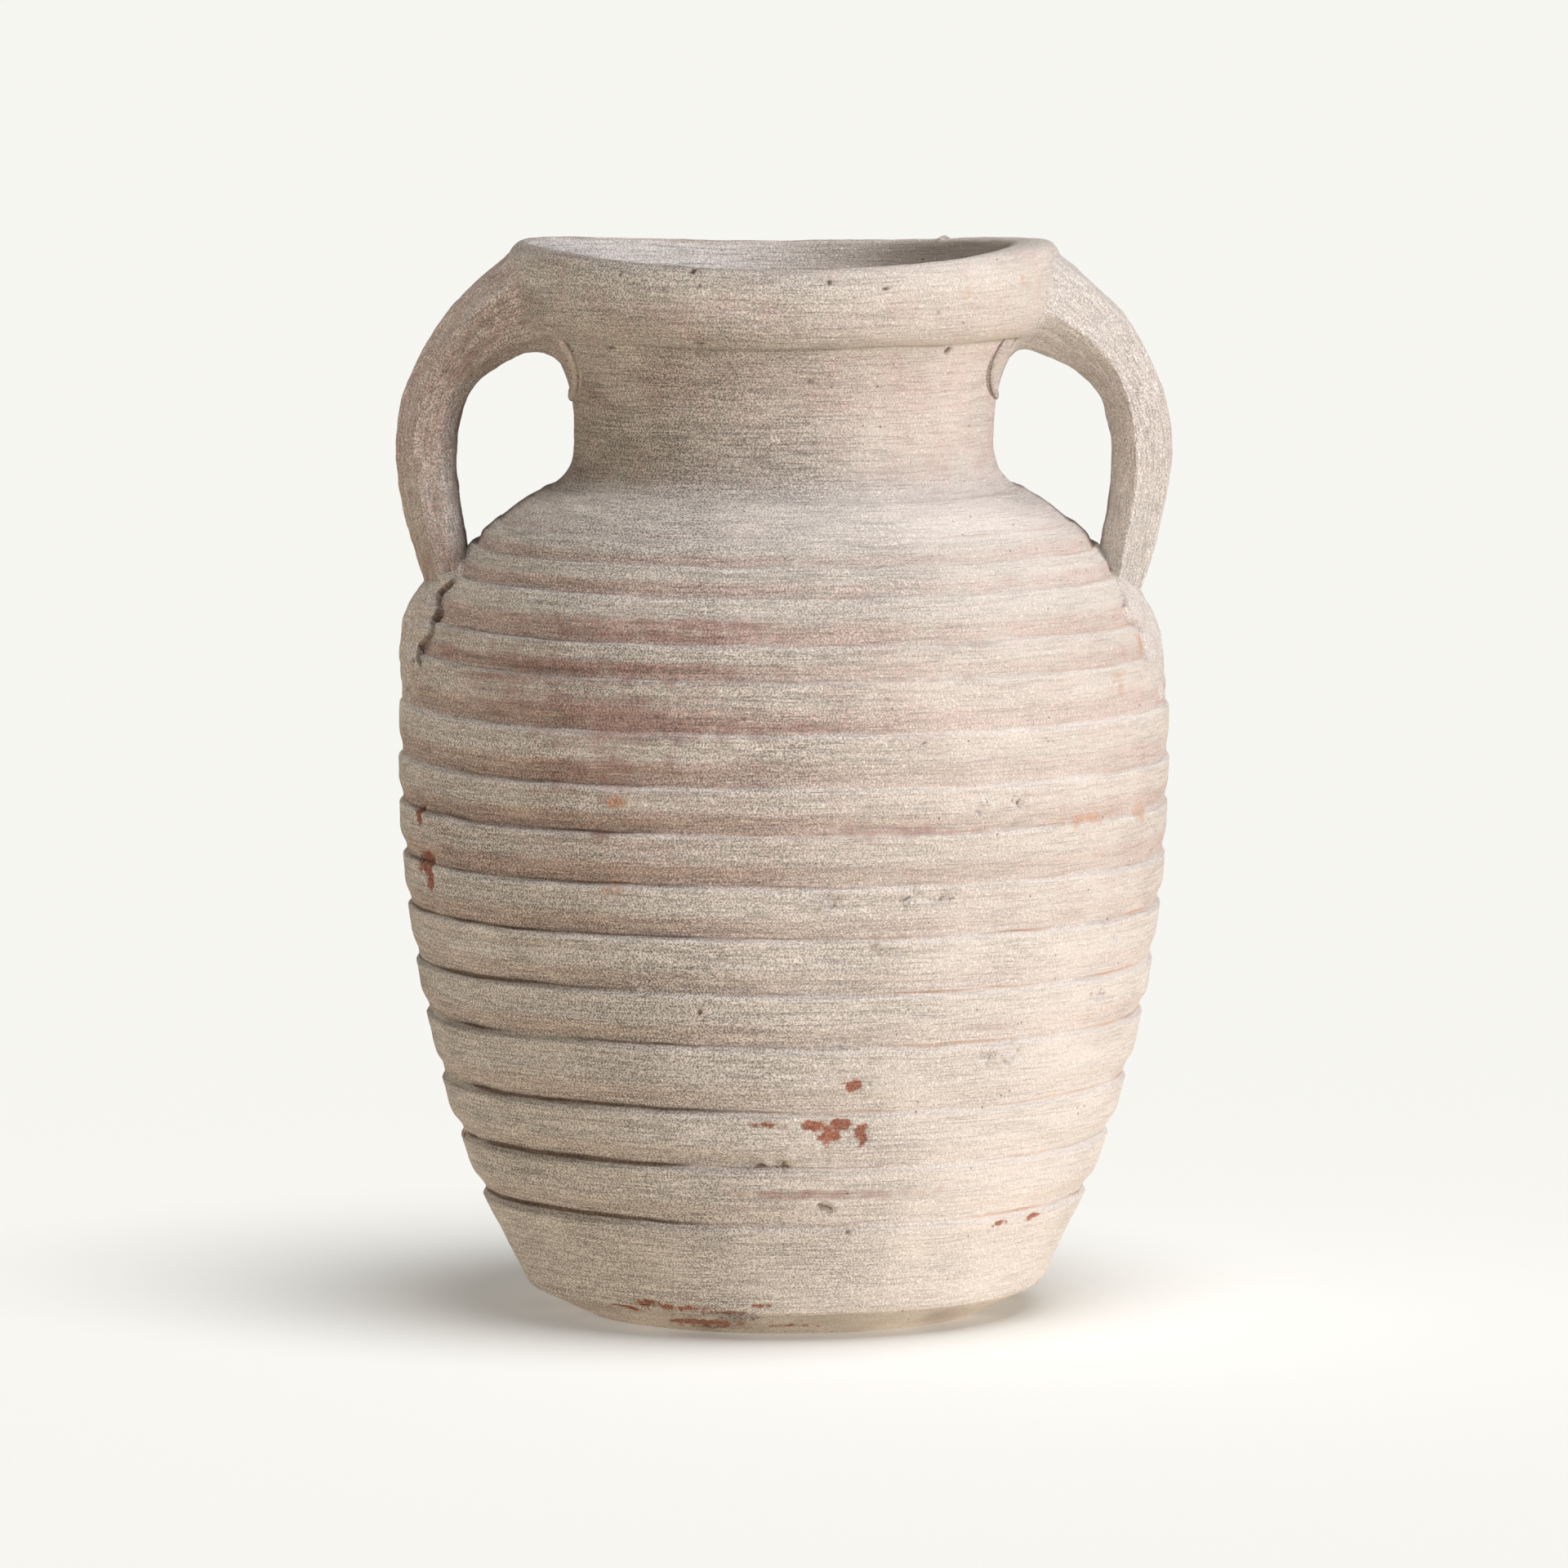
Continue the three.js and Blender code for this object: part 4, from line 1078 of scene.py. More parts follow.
def make_wad(side, name, edges):
    """The wad smeared over a strap's lower end, standing proud of the ribs with a cracked, ragged edge."""
    shape = bpy.context.scene.vase_shape
    table = np.array(edges)
    heights = table[:, 0] * RIM_TOP
    low = OUTLINE.climb_to(heights[0]) - WAD_MARGIN
    high = OUTLINE.climb_to(heights[-1]) + WAD_MARGIN
    half_span = table[:, 1:3].max() * RIM_TOP + WAD_MARGIN
    climb = np.arange(low, high, WAD_SPACING)[:, None]
    across = np.arange(-half_span, half_span, WAD_SPACING)[None, :]
    climb, across = np.broadcast_arrays(climb, across)
    radius, height, out, up = OUTLINE.at(climb)
    angle = side * math.pi / 2 - side * across / radius
    base = round_points(angle, radius, height)
    front, back, thickness = [RIM_TOP * np.interp(height, heights, table[:, key]) for key in (1, 2, 3)]
    ragged = WAD_RAGGEDNESS * noise(base, "wad_edge")
    half_width = np.where(across > 0, front, back)
    inside = np.minimum(half_width - np.abs(across), climb - low - WAD_MARGIN)
    inside = np.minimum(inside, high - WAD_MARGIN - climb) + ragged
    share = height / RIM_TOP
    torn_front = (across > 0) * smooth_step(0.60, 0.62, share) * (1 - smooth_step(0.69, 0.70, share))
    cracked = smooth_step(-0.15, 0.15, noise(base, "wad_cracks")) * (1.0 if side < 0 else 0.45)
    cracked = np.maximum(cracked, torn_front if side < 0 else 0.7 * torn_front)
    edge = smooth_step(0.0, WAD_SMEAR + (WAD_EDGE_WIDTH - WAD_SMEAR) * cracked, inside)
    crown = thickness * (1 - np.exp(-np.clip(inside, 0, None) / WAD_CROWN_REACH))
    smear = np.stack([across * 1.4, climb / 8, across * 0 + side], axis=-1)
    lines = noise(smear, "wad_lines") + noise(smear, "fine_wad_lines")
    proud = WAD_EDGE_RISE * cracked * smooth_step(0.58, 0.62, share)
    relief = -WAD_SUNK + (WAD_SUNK + proud + crown) * edge
    relief = relief + (2.2 * shape.line_depth * lines + WAD_LUMPS * noise(base, "wad_lumps")) * edge
    relief = relief + 1.4 * shape.grit_depth * noise(base, "wad_grit") * edge
    splits = noise(base, "wad_splits")
    across_split = (inside - WAD_SPLIT_INSET - 2.5 * ragged) / WAD_SPLIT_WIDTH
    crack = np.exp(-(across_split**2)) * smooth_step(0.1, 0.4, splits)
    relief = relief - WAD_CRACK_DEPTH * crack
    direction = round_points(angle, out, up)
    upper = base + direction * relief[..., None]
    lower = base - direction * (2 * WAD_SUNK)
    streaks = np.stack([across, climb / 8, across * 0 + side], axis=-1)
    fields = wad_fields(side, upper, base, streaks, inside, cracked, crack)
    loop = np.concatenate([upper, lower[:, ::-1]], axis=1)
    doubled = {key: np.concatenate([value, value[:, ::-1]], axis=1) for key, value in fields.items()}
    return make_piece(f"slipped_{name}", name, loop, doubled, False, capped=True)


def make_coil(side, name, plumpness):
    """The coil pressed onto the neck round a strap's upper end."""
    shape = bpy.context.scene.vase_shape
    half_span = STRAP_ROOT_WIDTH / 2 + COIL_SPREAD
    turn = np.linspace(-math.pi / 2, math.pi / 2, COIL_STEPS)
    across = half_span * np.sign(turn) * np.abs(np.sin(turn)) ** COIL_SQUARENESS
    height = RIM_SEAM + COIL_RISE - (COIL_RISE + COIL_DROP) * np.cos(turn)
    radius = neck_radius(height) - COIL_BURY
    centre = np.stack([np.sqrt(radius**2 - across**2), across, height], axis=-1)
    along = np.gradient(centre, axis=0)
    along = along / np.linalg.norm(along, axis=-1, keepdims=True)
    out = centre * np.array([1.0, 1.0, 0.0])
    out = out - along * np.einsum("ij,ij->i", out, along)[:, None]
    out = out / np.linalg.norm(out, axis=-1, keepdims=True)
    away = np.cross(out, along)
    away = away * np.sign(-away[COIL_STEPS // 2, 2])
    phi = np.linspace(0, 2 * math.pi, COIL_COLUMNS, endpoint=False)
    taper = (0.3 + 0.7 * np.sin(turn) ** 2) * np.clip(np.cos(turn), 0, None) ** 0.4 + 0.1
    thick = (COIL_RADIUS * plumpness * taper * (1 + noise(centre, "coil_girth")))[:, None, None]
    ring = out[:, None] * np.cos(phi)[None, :, None]
    ring = ring + COIL_SPREADING * away[:, None] * np.sin(phi)[None, :, None]
    points = centre[:, None] + thick * ring
    relief = 1.5 * shape.grit_depth * noise(points, "coil_grit")
    points = points + ring * relief[..., None]
    points[..., 0] *= side
    streaks = points / np.array([6.0, 6.0, 1.0])
    fields = plain_fields(points, streaks, 0.3)
    # Painted shade along the coil's flanks where it meets the neck
    foot = np.exp(-(((np.cos(phi)[None, :] - 0.45) / 0.28) ** 2))
    fields["dirt"] = 1.1 * foot * (0.7 + noise(points, "coil_contact_shade"))
    return make_piece(f"slipped_{name}", name, points, fields, False, capped=True)


class Bench:
    """Adds shader nodes to a tree and links them."""

    def __init__(self, tree):
        self.tree = tree

    def set_input(self, socket, value):
        """Links a socket to another, or gives it a plain value."""
        if isinstance(value, bpy.types.NodeSocket):
            self.tree.links.new(value, socket)
        else:
            socket.default_value = value

    def attribute(self, name, output="Fac"):
        node = self.tree.nodes.new("ShaderNodeAttribute")
        node.attribute_name = name
        return node.outputs[output]

    def math(self, operation, first, second=0.0):
        node = self.tree.nodes.new("ShaderNodeMath")
        node.operation = operation
        self.set_input(node.inputs[0], first)
        self.set_input(node.inputs[1], second)
        return node.outputs[0]

    def noise(self, place, scale, detail=2.0, roughness=0.5):
        node = self.tree.nodes.new("ShaderNodeTexNoise")
        self.set_input(node.inputs["Vector"], place)
        node.inputs["Scale"].default_value = scale
        node.inputs["Detail"].default_value = detail
        node.inputs["Roughness"].default_value = roughness
        return node.outputs[0]

    def cells(self, place, scale):
        node = self.tree.nodes.new("ShaderNodeTexVoronoi")
        self.set_input(node.inputs["Vector"], place)
        node.inputs["Scale"].default_value = scale
        return node.outputs["Distance"]

    def ramp(self, value, low, high, start=0.0, end=1.0):
        node = self.tree.nodes.new("ShaderNodeMapRange")
        node.interpolation_type = "SMOOTHSTEP"
        self.set_input(node.inputs["Value"], value)
        for name, setting in (("From Min", low), ("From Max", high), ("To Min", start), ("To Max", end)):
            node.inputs[name].default_value = setting
        return node.outputs[0]

    def mix(self, factor, first, second, blend="MIX"):
        node = self.tree.nodes.new("ShaderNodeMix")
        node.data_type = "RGBA"
        node.blend_type = blend
        colours = [socket for socket in node.inputs if socket.type == "RGBA"]
        self.set_input(node.inputs[0], factor)
        self.set_input(colours[0], first)
        self.set_input(colours[1], second)
        return next(socket for socket in node.outputs if socket.type == "RGBA")


def slip_colour(bench, finish, place, grain):
    """The slip's colour: greenish cream to pink, sandy, streaked, stained and chipped, with painted
    highlights from the pale coat and painted shade and dark pits in dark brown.
    """
    fine = bench.noise(place, finish.sand_scale, 3.0, 0.65)
    coarse = bench.noise(place, finish.cloud_scale, 3.0, 0.6)
    streak = bench.noise(grain, finish.streak_scale, 3.0, 0.65)
    pinkness = bench.math("ADD", bench.attribute("blush"), bench.ramp(coarse, 0.3, 0.7, -0.3, 0.3))
    pinkness = bench.math("ADD", pinkness, bench.ramp(fine, 0.3, 0.7, -0.3, 0.3))
    colour = bench.mix(bench.ramp(pinkness, 0.0, 1.0), (*finish.cream, 1), (*finish.pink, 1))
    cove = bench.math("MULTIPLY", bench.attribute("cove"), finish.cove_tint)
    colour = bench.mix(cove, colour, (*finish.peach, 1))
    ragged = bench.ramp(fine, 0.25, 0.75, -0.35, 0.35)
    for name, start, full, cover in COAT_SHARES:
        shown = bench.ramp(bench.math("ADD", bench.attribute(name), ragged), start, full, 0.0, cover)
        colour = bench.mix(shown, colour, (*getattr(finish, name), 1))
    chip = bench.math("ADD", bench.attribute("chip"), ragged)
    bitten = bench.ramp(bench.noise(place, finish.lump_scale, 3.0, 0.6), 0.3, 0.7, -0.4, 0.4)
    chip = bench.math("ADD", chip, bitten)
    chip_tone = bench.mix(fine, (*finish.chip_dark, 1), (*finish.chip_light, 1))
    colour = bench.mix(bench.ramp(chip, 0.0, 0.34), colour, chip_tone)
    # Painted shade and dark pits: a dark brown mixed over the colour
    dirt = bench.ramp(slip_shade_and_pits(bench, finish, place, fine), 0.08, 1.0, 0.0, finish.shade_and_pits_cover)
    colour = bench.mix(dirt, colour, (*finish.dirt, 1))
    tone = bench.tree.nodes.new("ShaderNodeVectorMath")
    tone.operation = "SCALE"
    bench.set_input(tone.inputs[0], colour)
    bench.set_input(tone.inputs["Scale"], slip_shade(bench, finish, place, fine, streak))
    return tone.outputs[0]


def slip_shade_and_pits(bench, finish, place, fine):
    """How dark each point is made: painted shade in crevices and between crumbs, and darker pinholes."""
    # Painted shade between the crumbs, where their bump is low
    crumb_gap_shade = bench.ramp(bench.noise(place, finish.crumb_scale, 3.0, 0.7), 0.42, 0.50, 0.7, 0.0)
    crumb_gap_shade = bench.math("MULTIPLY", crumb_gap_shade, bench.attribute("crumb"))
    dirt = bench.math("ADD", bench.attribute("dirt"), bench.ramp(fine, 0.25, 0.75, -0.12, 0.12))
    dirt = bench.math("ADD", dirt, crumb_gap_shade)
    holes = bench.ramp(bench.cells(place, finish.pinhole_scale), 0.05, 0.13, 1.0, 0.0)
    patches = bench.ramp(bench.noise(place, finish.hole_scale, 1.0), 0.54, 0.62)
    holes = bench.math("MULTIPLY", bench.math("MULTIPLY", holes, patches), 0.8)
    return bench.math("ADD", dirt, holes)


def slip_shade(bench, finish, place, fine, streak):
    """How light each point is: the grains of sand, the throwing lines and the pale flecks."""
    shade = 1.0
    for pattern, contrast in ((fine, finish.sand_contrast), (streak, finish.streak_contrast)):
        change = bench.ramp(pattern, 0.36, 0.64, -contrast, contrast)
        change = bench.math("ADD", bench.math("MULTIPLY", change, bench.attribute("sand")), 1.0)
        shade = bench.math("MULTIPLY", shade, change)
    flecks = bench.ramp(bench.cells(place, finish.fleck_scale), 0.12, 0.3, 1 + finish.fleck_contrast, 1.0)
    return bench.math("MULTIPLY", shade, flecks)


def slip_bump(bench, finish, place, grain):
    """The fine relief that the mesh is too coarse for: sand, grains, crumbs, throwing lines and pinholes."""
    sand = bench.ramp(bench.noise(place, finish.sand_scale, 3.0, 0.7), 0.25, 0.75)
    lumps = bench.noise(place, finish.lump_scale, 2.0, 0.5)
    lines = bench.ramp(bench.noise(grain, finish.streak_scale, 2.0, 0.6), 0.28, 0.5)
    lines = bench.math("MULTIPLY", lines, bench.attribute("sand"))
    grains = bench.ramp(bench.cells(place, finish.fleck_scale), 0.1, 0.32, 1.0, 0.0)
    crumbs = bench.noise(place, finish.crumb_scale, 3.0, 0.7)
    crumbs = bench.math("MULTIPLY", crumbs, bench.attribute("crumb"))
    pinholes = bench.ramp(bench.cells(place, finish.pinhole_scale), 0.02, 0.16, -0.6, 0.0)
    parts = (
        (bench.math("MULTIPLY", sand, bench.attribute("sand")), finish.sand_rise),
        (lumps, finish.lump_rise), (lines, finish.line_rise),
        (grains, finish.grain_rise), (crumbs, finish.crumb_rise),
    )
    height = pinholes
    for relief, rise in parts:
        height = bench.math("ADD", height, bench.math("MULTIPLY", relief, rise))
    bump = bench.tree.nodes.new("ShaderNodeBump")
    bump.inputs["Strength"].default_value = 1.0
    bump.inputs["Distance"].default_value = finish.bump_depth
    bench.set_input(bump.inputs["Height"], height)
    return bump.outputs["Normal"]


def slipped_clay():
    """Terracotta under a thin, dry coat of pale slip; made once and shared by every piece."""
    name = "slipped_clay"
    if name in bpy.data.materials:
        return bpy.data.materials[name]
    finish = bpy.context.scene.vase_finish
    material = bpy.data.materials.new(name)
    material.use_nodes = True
    tree = material.node_tree
    tree.nodes.clear()
    bench = Bench(tree)
    place = tree.nodes.new("ShaderNodeTexCoord").outputs["Object"]
    grain = bench.attribute("grain", "Vector")
    shader = tree.nodes.new("ShaderNodeBsdfPrincipled")
    bench.set_input(shader.inputs["Base Color"], slip_colour(bench, finish, place, grain))
    bench.set_input(shader.inputs["Normal"], slip_bump(bench, finish, place, grain))
    shader.inputs["Roughness"].default_value = finish.roughness
    shader.inputs["Specular IOR Level"].default_value = finish.gloss
    output = tree.nodes.new("ShaderNodeOutputMaterial")
    tree.links.new(shader.outputs[0], output.inputs["Surface"])
    return material


def camera_only(tree, seen, otherwise):
    """Shows one shader to the camera and gives another to every other ray."""
    path = tree.nodes.new("ShaderNodeLightPath")
    mix = tree.nodes.new("ShaderNodeMixShader")
    tree.links.new(path.outputs["Is Camera Ray"], mix.inputs[0])
    tree.links.new(otherwise, mix.inputs[1])
    tree.links.new(seen, mix.inputs[2])
    return mix.outputs[0]


def floor_material(stage):
    """A pale matt floor that shows the backdrop's colour and keeps the vase's shadow."""
    material = bpy.data.materials.new("pale_floor")
    material.use_nodes = True
    tree = material.node_tree
    tree.nodes.clear()
    shaded = tree.nodes.new("ShaderNodeBsdfDiffuse")
    shaded.inputs["Color"].default_value = (*stage.floor_tone, 1)
    glow = tree.nodes.new("ShaderNodeEmission")
    glow.inputs["Color"].default_value = (*stage.backdrop, 1)
    seen = tree.nodes.new("ShaderNodeMixShader")
    seen.inputs[0].default_value = stage.floor_glow
    tree.links.new(shaded.outputs[0], seen.inputs[1])
    tree.links.new(glow.outputs[0], seen.inputs[2])
    bounce = tree.nodes.new("ShaderNodeBsdfDiffuse")
    bounce.inputs["Color"].default_value = (*stage.floor_bounce, 1)
    lift = tree.nodes.new("ShaderNodeEmission")
    lift.inputs["Color"].default_value = (*stage.floor_bounce, 1)
    lift.inputs["Strength"].default_value = stage.bounce_lift
    thrown = tree.nodes.new("ShaderNodeAddShader")
    tree.links.new(bounce.outputs[0], thrown.inputs[0])
    tree.links.new(lift.outputs[0], thrown.inputs[1])
    output = tree.nodes.new("ShaderNodeOutputMaterial")
    tree.links.new(camera_only(tree, seen.outputs[0], thrown.outputs[0]), output.inputs["Surface"])
    return material


def make_world(stage):
    """Soft light from all round, and a plain backdrop behind the floor's edge."""
    world = bpy.data.worlds.new("studio_light")
    bpy.context.scene.world = world
    world.use_nodes = True
    tree = world.node_tree
    tree.nodes.clear()
    seen = tree.nodes.new("ShaderNodeBackground")
    seen.inputs["Color"].default_value = (*stage.backdrop, 1)
    around = tree.nodes.new("ShaderNodeBackground")
    around.inputs["Color"].default_value = (*stage.ambient, 1)
    around.inputs["Strength"].default_value = stage.ambient_level
    output = tree.nodes.new("ShaderNodeOutputWorld")
    tree.links.new(camera_only(tree, seen.outputs[0], around.outputs[0]), output.inputs["Surface"])


def make_lamp(stage, name):
    """A far, soft lamp: turned from the front towards the right, and tilted up from level."""
    keys = ("turn", "tilt", "spread", "level")
    turn, tilt, spread, level = [getattr(stage, f"{name}_{key}") for key in keys]
    lamp = bpy.data.lights.new(f"{name}_lamp", "SUN")
    lamp.energy = level
    lamp.angle = spread
    lamp.color = getattr(stage, f"{name}_tint")
    holder = bpy.data.objects.new(f"{name}_lamp", lamp)
    holder.rotation_euler = Euler((math.pi / 2 - tilt, 0, turn), "XYZ")
    bpy.context.scene.collection.objects.link(holder)
    return holder


def light_only(lamp, receiver, state):
    """Makes a lamp light one object alone, or all but that one."""
    group = bpy.data.collections.new(f"{lamp.name}_receivers")
    group.objects.link(receiver)
    group.collection_objects[0].light_linking.link_state = state
    lamp.light_linking.receiver_collection = group


def make_camera(stage):
    """The camera at the photograph's viewing angle."""
    camera = bpy.data.cameras.new("front_camera")
    camera.lens = stage.camera_lens
    holder = bpy.data.objects.new("front_camera", camera)
    holder.location = (0, -stage.camera_distance, stage.camera_height)
    holder.rotation_euler = (math.pi / 2 - stage.camera_tilt, 0, 0)
    bpy.context.scene.collection.objects.link(holder)
    bpy.context.scene.camera = holder


def share_setting(name, description, default):
    """A plain number that a user can change."""
    return FloatProperty(name=name, description=description, default=default)


def length_setting(name, description, default):
    """A length in metres that a user can change."""
    return FloatProperty(name=name, description=description, default=default, unit="LENGTH")


def angle_setting(name, description, default):
    """An angle that a user can change."""
    return FloatProperty(name=name, description=description, default=default, subtype="ANGLE")


def colour_setting(name, description, default):
    """A colour that a user can change."""
    return FloatVectorProperty(name=name, description=description, default=default, subtype="COLOR")


class VaseShape(PropertyGroup):
    columns: IntProperty(name="Columns", description="Points round the vessel", default=640)
    row_spacing: length_setting("Row spacing", "Height between two rows of the wall", default=0.00105)
    rib_reach: length_setting("Rib reach", "How far a rib's edge stands out", default=0.0009)
    rib_depth: length_setting("Rib depth", "How deep the groove over an edge is", default=0.0016)
    rib_fade: length_setting("Rib fade", "How far round a rib keeps its strength", default=0.06)
    rib_change: share_setting("Rib change", "How much a rib's strength changes", default=0.3)
    sway: length_setting("Sway", "How far a rib strays from level", default=0.0010)
    lump_depth: length_setting("Lumps", "Depth of the wall's broad lumps", default=0.0003)
    line_depth: length_setting("Throwing lines", "Depth of the throwing lines", default=0.00010)
    grit_depth: length_setting("Grit", "Depth of the coarse grit", default=0.00011)


class VaseFinish(PropertyGroup):
    cream: colour_setting("Cream", "Greenish cream slip", default=(0.70, 0.66, 0.605))
    pink: colour_setting("Pink", "Pinkish slip over bare clay", default=(0.655, 0.535, 0.495))
    peach: colour_setting("Peach", "Tint of the coves over the ribs", default=(0.60, 0.47, 0.41))
    # Pale slip, also used as painted highlight on the rib lips and painted light inside the throat
    pale: colour_setting("Pale", "Slip on the lips and the foot", default=(0.81, 0.78, 0.74))
    stain: colour_setting("Stain", "Rubbed red clay", default=(0.47, 0.305, 0.275))
    # Dark brown that paints shade into grooves, creases, crevices and cracks and onto the bevel, and darkens
    # pits
    dirt: colour_setting("Dirt", "Dirt in the crevices", default=(0.17, 0.11, 0.08))
    ochre: colour_setting("Ochre", "Orange rubs", default=(0.64, 0.39, 0.26))
    chip_dark: colour_setting("Chip, dark", "Depth of a chip", default=(0.30, 0.10, 0.07))
    chip_light: colour_setting("Chip, light", "Edge of a chip", default=(0.56, 0.29, 0.21))
    cove_tint: share_setting("Cove tint", "How far the coves take the peach", default=0.35)
    sand_scale: share_setting("Sand", "Grains of sand in a metre", default=1800)
    sand_contrast: share_setting("Sand contrast", "How much the grains vary", default=0.27)
    cloud_scale: share_setting("Clouds", "Colour clouds in a metre", default=90)
    streak_scale: share_setting("Streaks", "Throwing lines in a metre", default=1800)
    streak_contrast: share_setting("Streak contrast", "How dark the lines are", default=0.065)
    fleck_scale: share_setting("Flecks", "Pale flecks in a metre", default=420)
    fleck_contrast: share_setting("Fleck contrast", "How pale the flecks are", default=0.22)
    lump_scale: share_setting("Small lumps", "Small lumps in a metre", default=420)
    crumb_scale: share_setting("Crumbs", "Crumbs in a metre", default=620)
    pinhole_scale: share_setting("Pinholes", "Pinholes in a metre", default=230)
    hole_scale: share_setting("Hole patches", "Patches of dark holes in a metre", default=130)
    sand_rise: share_setting("Sand rise", "Share of the bump from sand", default=0.55)
    lump_rise: share_setting("Lump rise", "Share of the bump from lumps", default=0.7)
    line_rise: share_setting("Line rise", "Share of the bump from lines", default=0.6)
    grain_rise: share_setting("Grain rise", "Share of the bump from pale grains", default=0.4)
    crumb_rise: share_setting("Crumb rise", "Share of the bump from crumbs", default=2.6)
    bump_depth: length_setting("Bump depth", "Depth of the fine relief", default=0.0006)
    # How far the dark brown of painted shade and pits covers at most
    shade_and_pits_cover: share_setting("Dirt cover", "How much dirt fills a crevice", default=0.85)
    roughness: share_setting("Roughness", "Roughness of the dry slip", default=0.95)
    gloss: share_setting("Gloss", "Strength of the slip's sheen", default=0.2)


class VaseStage(PropertyGroup):
    backdrop: colour_setting("Backdrop", "Colour behind the vase", default=(0.922, 0.913, 0.880))
    floor_tone: colour_setting("Floor", "Colour of the floor", default=(0.950, 0.936, 0.905))
    floor_glow: share_setting(
        "Floor glow", "Share of the floor's tone that no shadow reaches", default=0.20)
    floor_bounce: colour_setting(
        "Floor bounce", "Colour that the floor throws back", default=(0.26, 0.22, 0.17))
    bounce_lift: share_setting("Bounce lift", "Light that the floor gives in shadow too", default=2.9)
    ambient: colour_setting("Ambient", "Colour of the light all round", default=(0.90, 0.97, 0.92))
    ambient_level: share_setting("Ambient level", "Light from all round", default=0.15)
    key_turn: angle_setting("Key turn", "From the front", default=1.0)
    key_tilt: angle_setting("Key tilt", "Up from level", default=0.3)
    key_spread: angle_setting("Key spread", "Softness", default=0.5)
    key_level: share_setting("Key level", "Strength of the key lamp", default=2.47)
    key_tint: colour_setting("Key tint", "Colour of the key lamp", default=(1.0, 0.94, 0.98))
    fill_turn: angle_setting("Fill turn", "From the front", default=-0.8)
    fill_tilt: angle_setting("Fill tilt", "Up from level", default=0.06)
    fill_spread: angle_setting("Fill spread", "Softness", default=0.9)
    fill_level: share_setting("Fill level", "Strength of the fill lamp", default=0.76)
    fill_tint: colour_setting("Fill tint", "Colour of the fill lamp", default=(1.0, 0.75, 0.63))
    sky_turn: angle_setting("Top lamp turn", "From the front", default=-0.4)
    sky_tilt: angle_setting("Top lamp tilt", "Up from level", default=1.3)
    sky_spread: angle_setting("Top lamp spread", "Softness", default=0.3)
    sky_level: share_setting("Top lamp level", "Strength of the top lamp", default=1.4)
    sky_tint: colour_setting("Top lamp tint", "Colour of the top lamp", default=(1.0, 0.93, 0.88))
    floor_turn: angle_setting("Floor lamp turn", "From the front", default=0.72)
    floor_tilt: angle_setting("Floor lamp tilt", "Up from level", default=1.285)
    floor_spread: angle_setting("Floor lamp spread", "Softness", default=0.7)
    floor_level: share_setting("Floor lamp level", "Strength of the floor's lamp", default=2.75)
    floor_tint: colour_setting("Floor lamp tint", "Colour of the floor's lamp", default=(1.0, 1.0, 1.0))
    camera_lens: share_setting("Lens", "Focal length in mm", default=279.4)
    camera_distance: length_setting("Camera distance", "In front of the vase", default=4.11)
    camera_height: length_setting("Camera height", "Above the floor", default=0.5908)
    camera_tilt: angle_setting("Camera tilt", "Down from level", default=math.radians(5.73))
    floor_size: length_setting("Floor size", "Side of the floor", default=60.0)


class VASE_OT_floor_slab(Operator):
    """Builds the floor slab with its knife-cut bevel"""

    bl_idname = "vase.floor_slab"
    bl_label = "Floor slab"

    def execute(self, context):
        make_floor()
        return {"FINISHED"}


class VASE_OT_wall_sections(Operator):
    """Builds the four thrown sections of the body"""

    bl_idname = "vase.wall_sections"
    bl_label = "Wall sections"

    def execute(self, context):
        seams = [OUTLINE.climb_to(h) for h in (FLOOR_SEAM, FOOT_SEAM, LOWER_SEAM, BELLY_SEAM, NECK_SEAM)]
        nodes = ("foot_section", "lower_section", "belly_section", "shoulder_section")
        for node, first, last in zip(nodes, seams, seams[1:]):
            make_section(node, first, last)
        return {"FINISHED"}


class VASE_OT_neck(Operator):
    """Builds the waisted neck"""

    bl_idname = "vase.neck"
    bl_label = "Neck"

    def execute(self, context):
        make_section("neck_section", NECK_CLIMB, RIM_CLIMB)
        return {"FINISHED"}


class VASE_OT_rim(Operator):
    """Builds the rolled rim"""

    bl_idname = "vase.rim"
    bl_label = "Rolled rim"

    def execute(self, context):
        make_rim()
        return {"FINISHED"}


class VASE_OT_handles(Operator):
    """Builds the two pulled strap handles"""

    bl_idname = "vase.handles"
    bl_label = "Handles"

    def execute(self, context):
        make_handle(1, "right_handle", RIGHT_FACET_SHARES, RIGHT_FILLET_SHARES)
        make_handle(-1, "left_handle", LEFT_FACET_SHARES, LEFT_FILLET_SHARES)
        return {"FINISHED"}


class VASE_OT_handle_wads(Operator):
    """Smears a wad over each handle's lower end"""

    bl_idname = "vase.handle_wads"
    bl_label = "Handle wads"

    def execute(self, context):
        make_wad(1, "right_handle_wad", RIGHT_WAD_SHARES)
        make_wad(-1, "left_handle_wad", LEFT_WAD_SHARES)
        return {"FINISHED"}


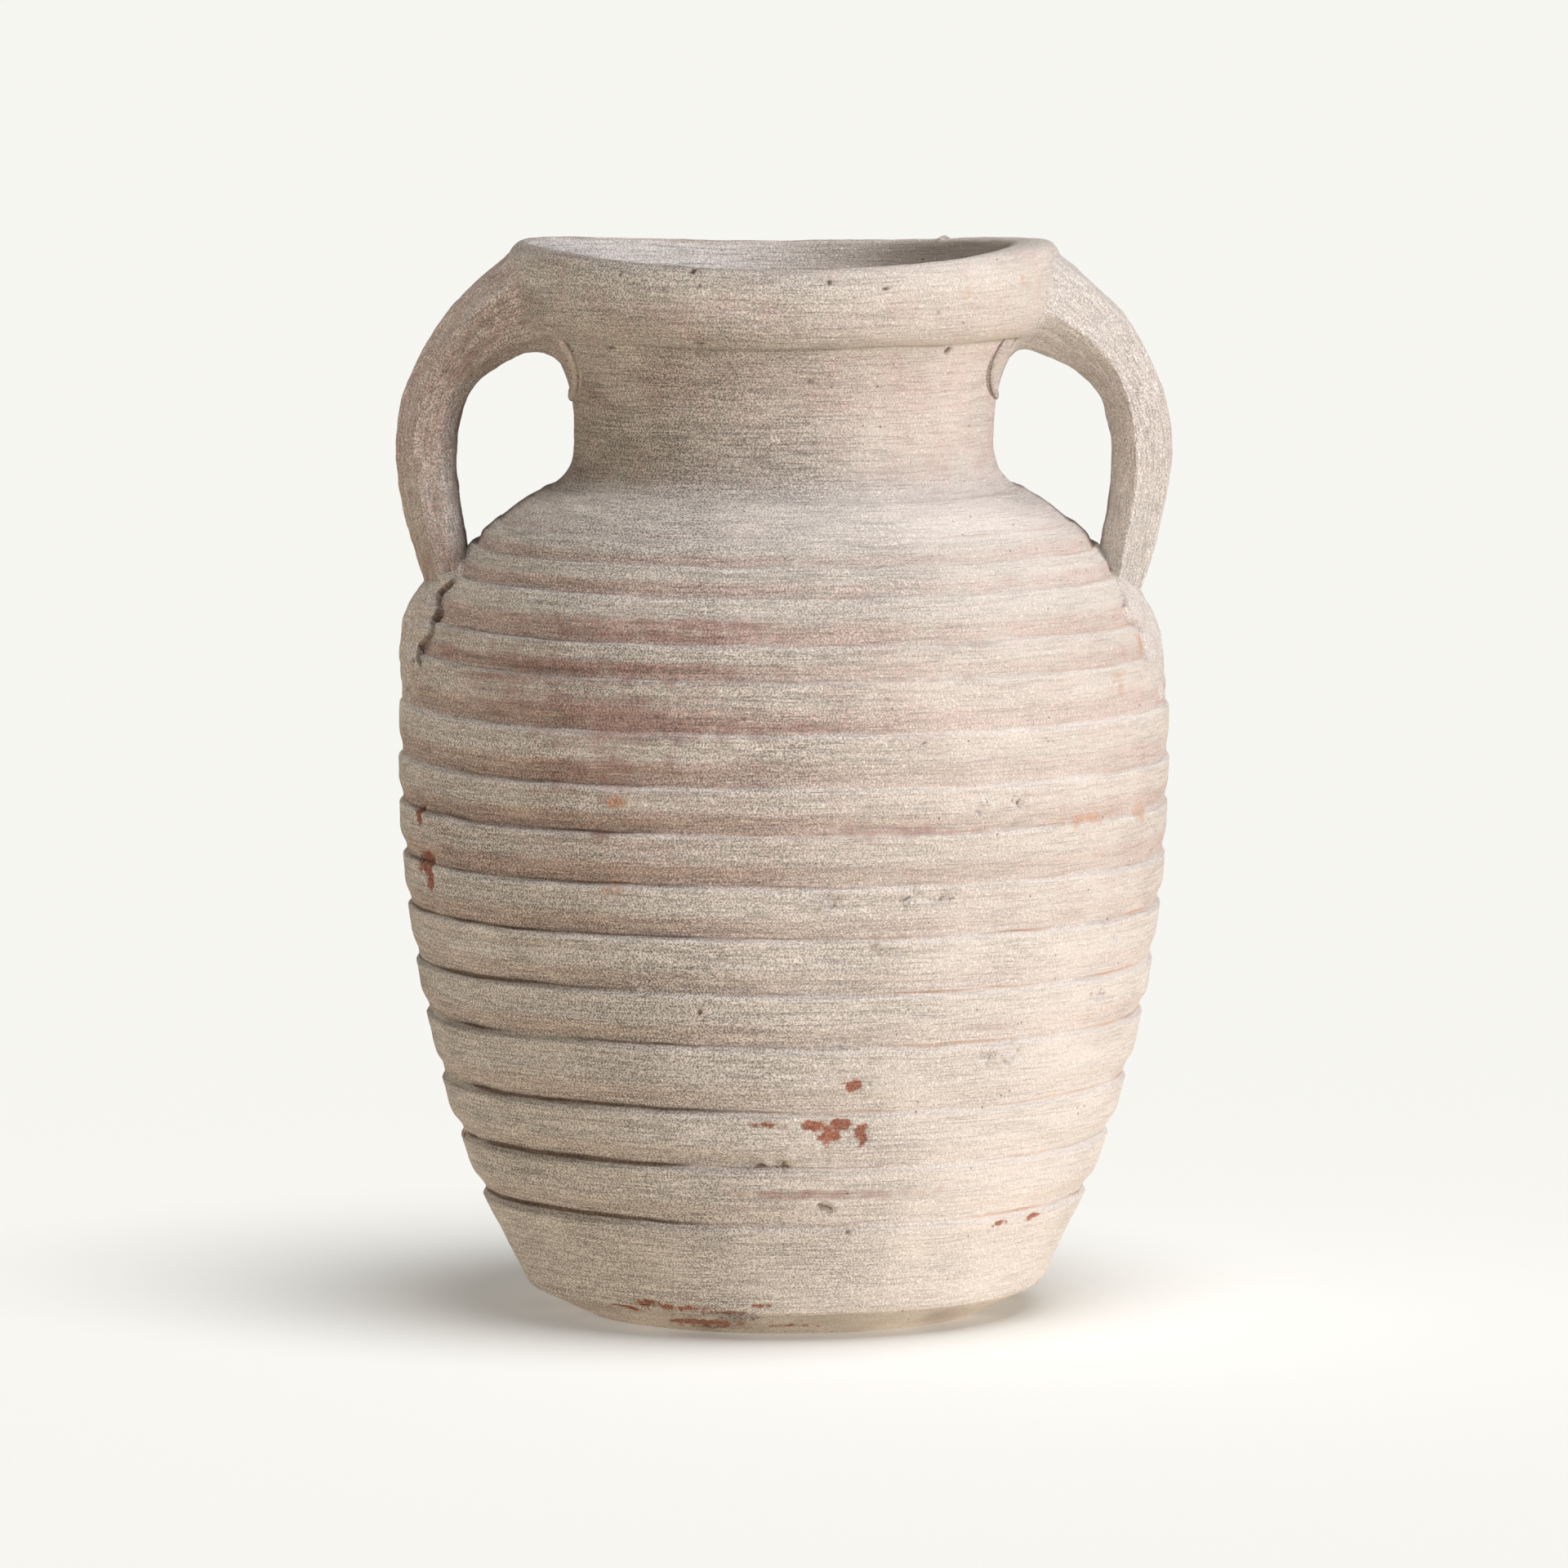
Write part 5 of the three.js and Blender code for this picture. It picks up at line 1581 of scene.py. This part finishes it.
class VASE_OT_handle_coils(Operator):
    """Presses a coil round each handle's upper end"""

    bl_idname = "vase.handle_coils"
    bl_label = "Handle coils"

    def execute(self, context):
        make_coil(1, "right_handle_coil", 0.7)
        make_coil(-1, "left_handle_coil", 1.0)
        return {"FINISHED"}


class VASE_OT_stage(Operator):
    """Sets the floor, the light and the camera"""

    bl_idname = "vase.stage"
    bl_label = "Stage"

    def execute(self, context):
        stage = context.scene.vase_stage
        bpy.ops.mesh.primitive_plane_add(size=stage.floor_size)
        floor = context.object
        floor.name = "pale_floor"
        floor.data.materials.append(floor_material(stage))
        make_world(stage)
        for name in ("key", "fill", "sky"):
            light_only(make_lamp(stage, name), floor, "EXCLUDE")
        light_only(make_lamp(stage, "floor"), floor, "INCLUDE")
        make_camera(stage)
        context.scene.view_settings.view_transform = "Standard"
        return {"FINISHED"}


class VASE_PT_sidebar(Panel):
    """Lists the vase's pieces and settings"""

    bl_idname = "VASE_PT_sidebar"
    bl_label = "Slipped Amphora Vase"
    bl_space_type = "VIEW_3D"
    bl_region_type = "UI"
    bl_category = "Vase"

    def draw(self, context):
        layout = self.layout
        for operator in OPERATORS:
            layout.operator(operator.bl_idname)
        for name, group in SETTINGS.items():
            box = layout.box()
            settings = getattr(context.scene, name)
            for key in group.__annotations__:
                box.prop(settings, key)


OPERATORS = (
    VASE_OT_stage, VASE_OT_floor_slab, VASE_OT_wall_sections, VASE_OT_neck, VASE_OT_rim,
    VASE_OT_handles, VASE_OT_handle_wads, VASE_OT_handle_coils,
)
SETTINGS = {"vase_shape": VaseShape, "vase_finish": VaseFinish, "vase_stage": VaseStage}
CLASSES = (*SETTINGS.values(), *OPERATORS, VASE_PT_sidebar)


def register():
    for item in CLASSES:
        bpy.utils.register_class(item)
    for name, group in SETTINGS.items():
        setattr(bpy.types.Scene, name, PointerProperty(type=group))


def unregister():
    for name in SETTINGS:
        delattr(bpy.types.Scene, name)
    for item in reversed(CLASSES):
        bpy.utils.unregister_class(item)


def main():
    register()
    for operator in OPERATORS:
        module, name = operator.bl_idname.split(".")
        getattr(getattr(bpy.ops, module), name)()


if __name__ == "__main__":
    main()
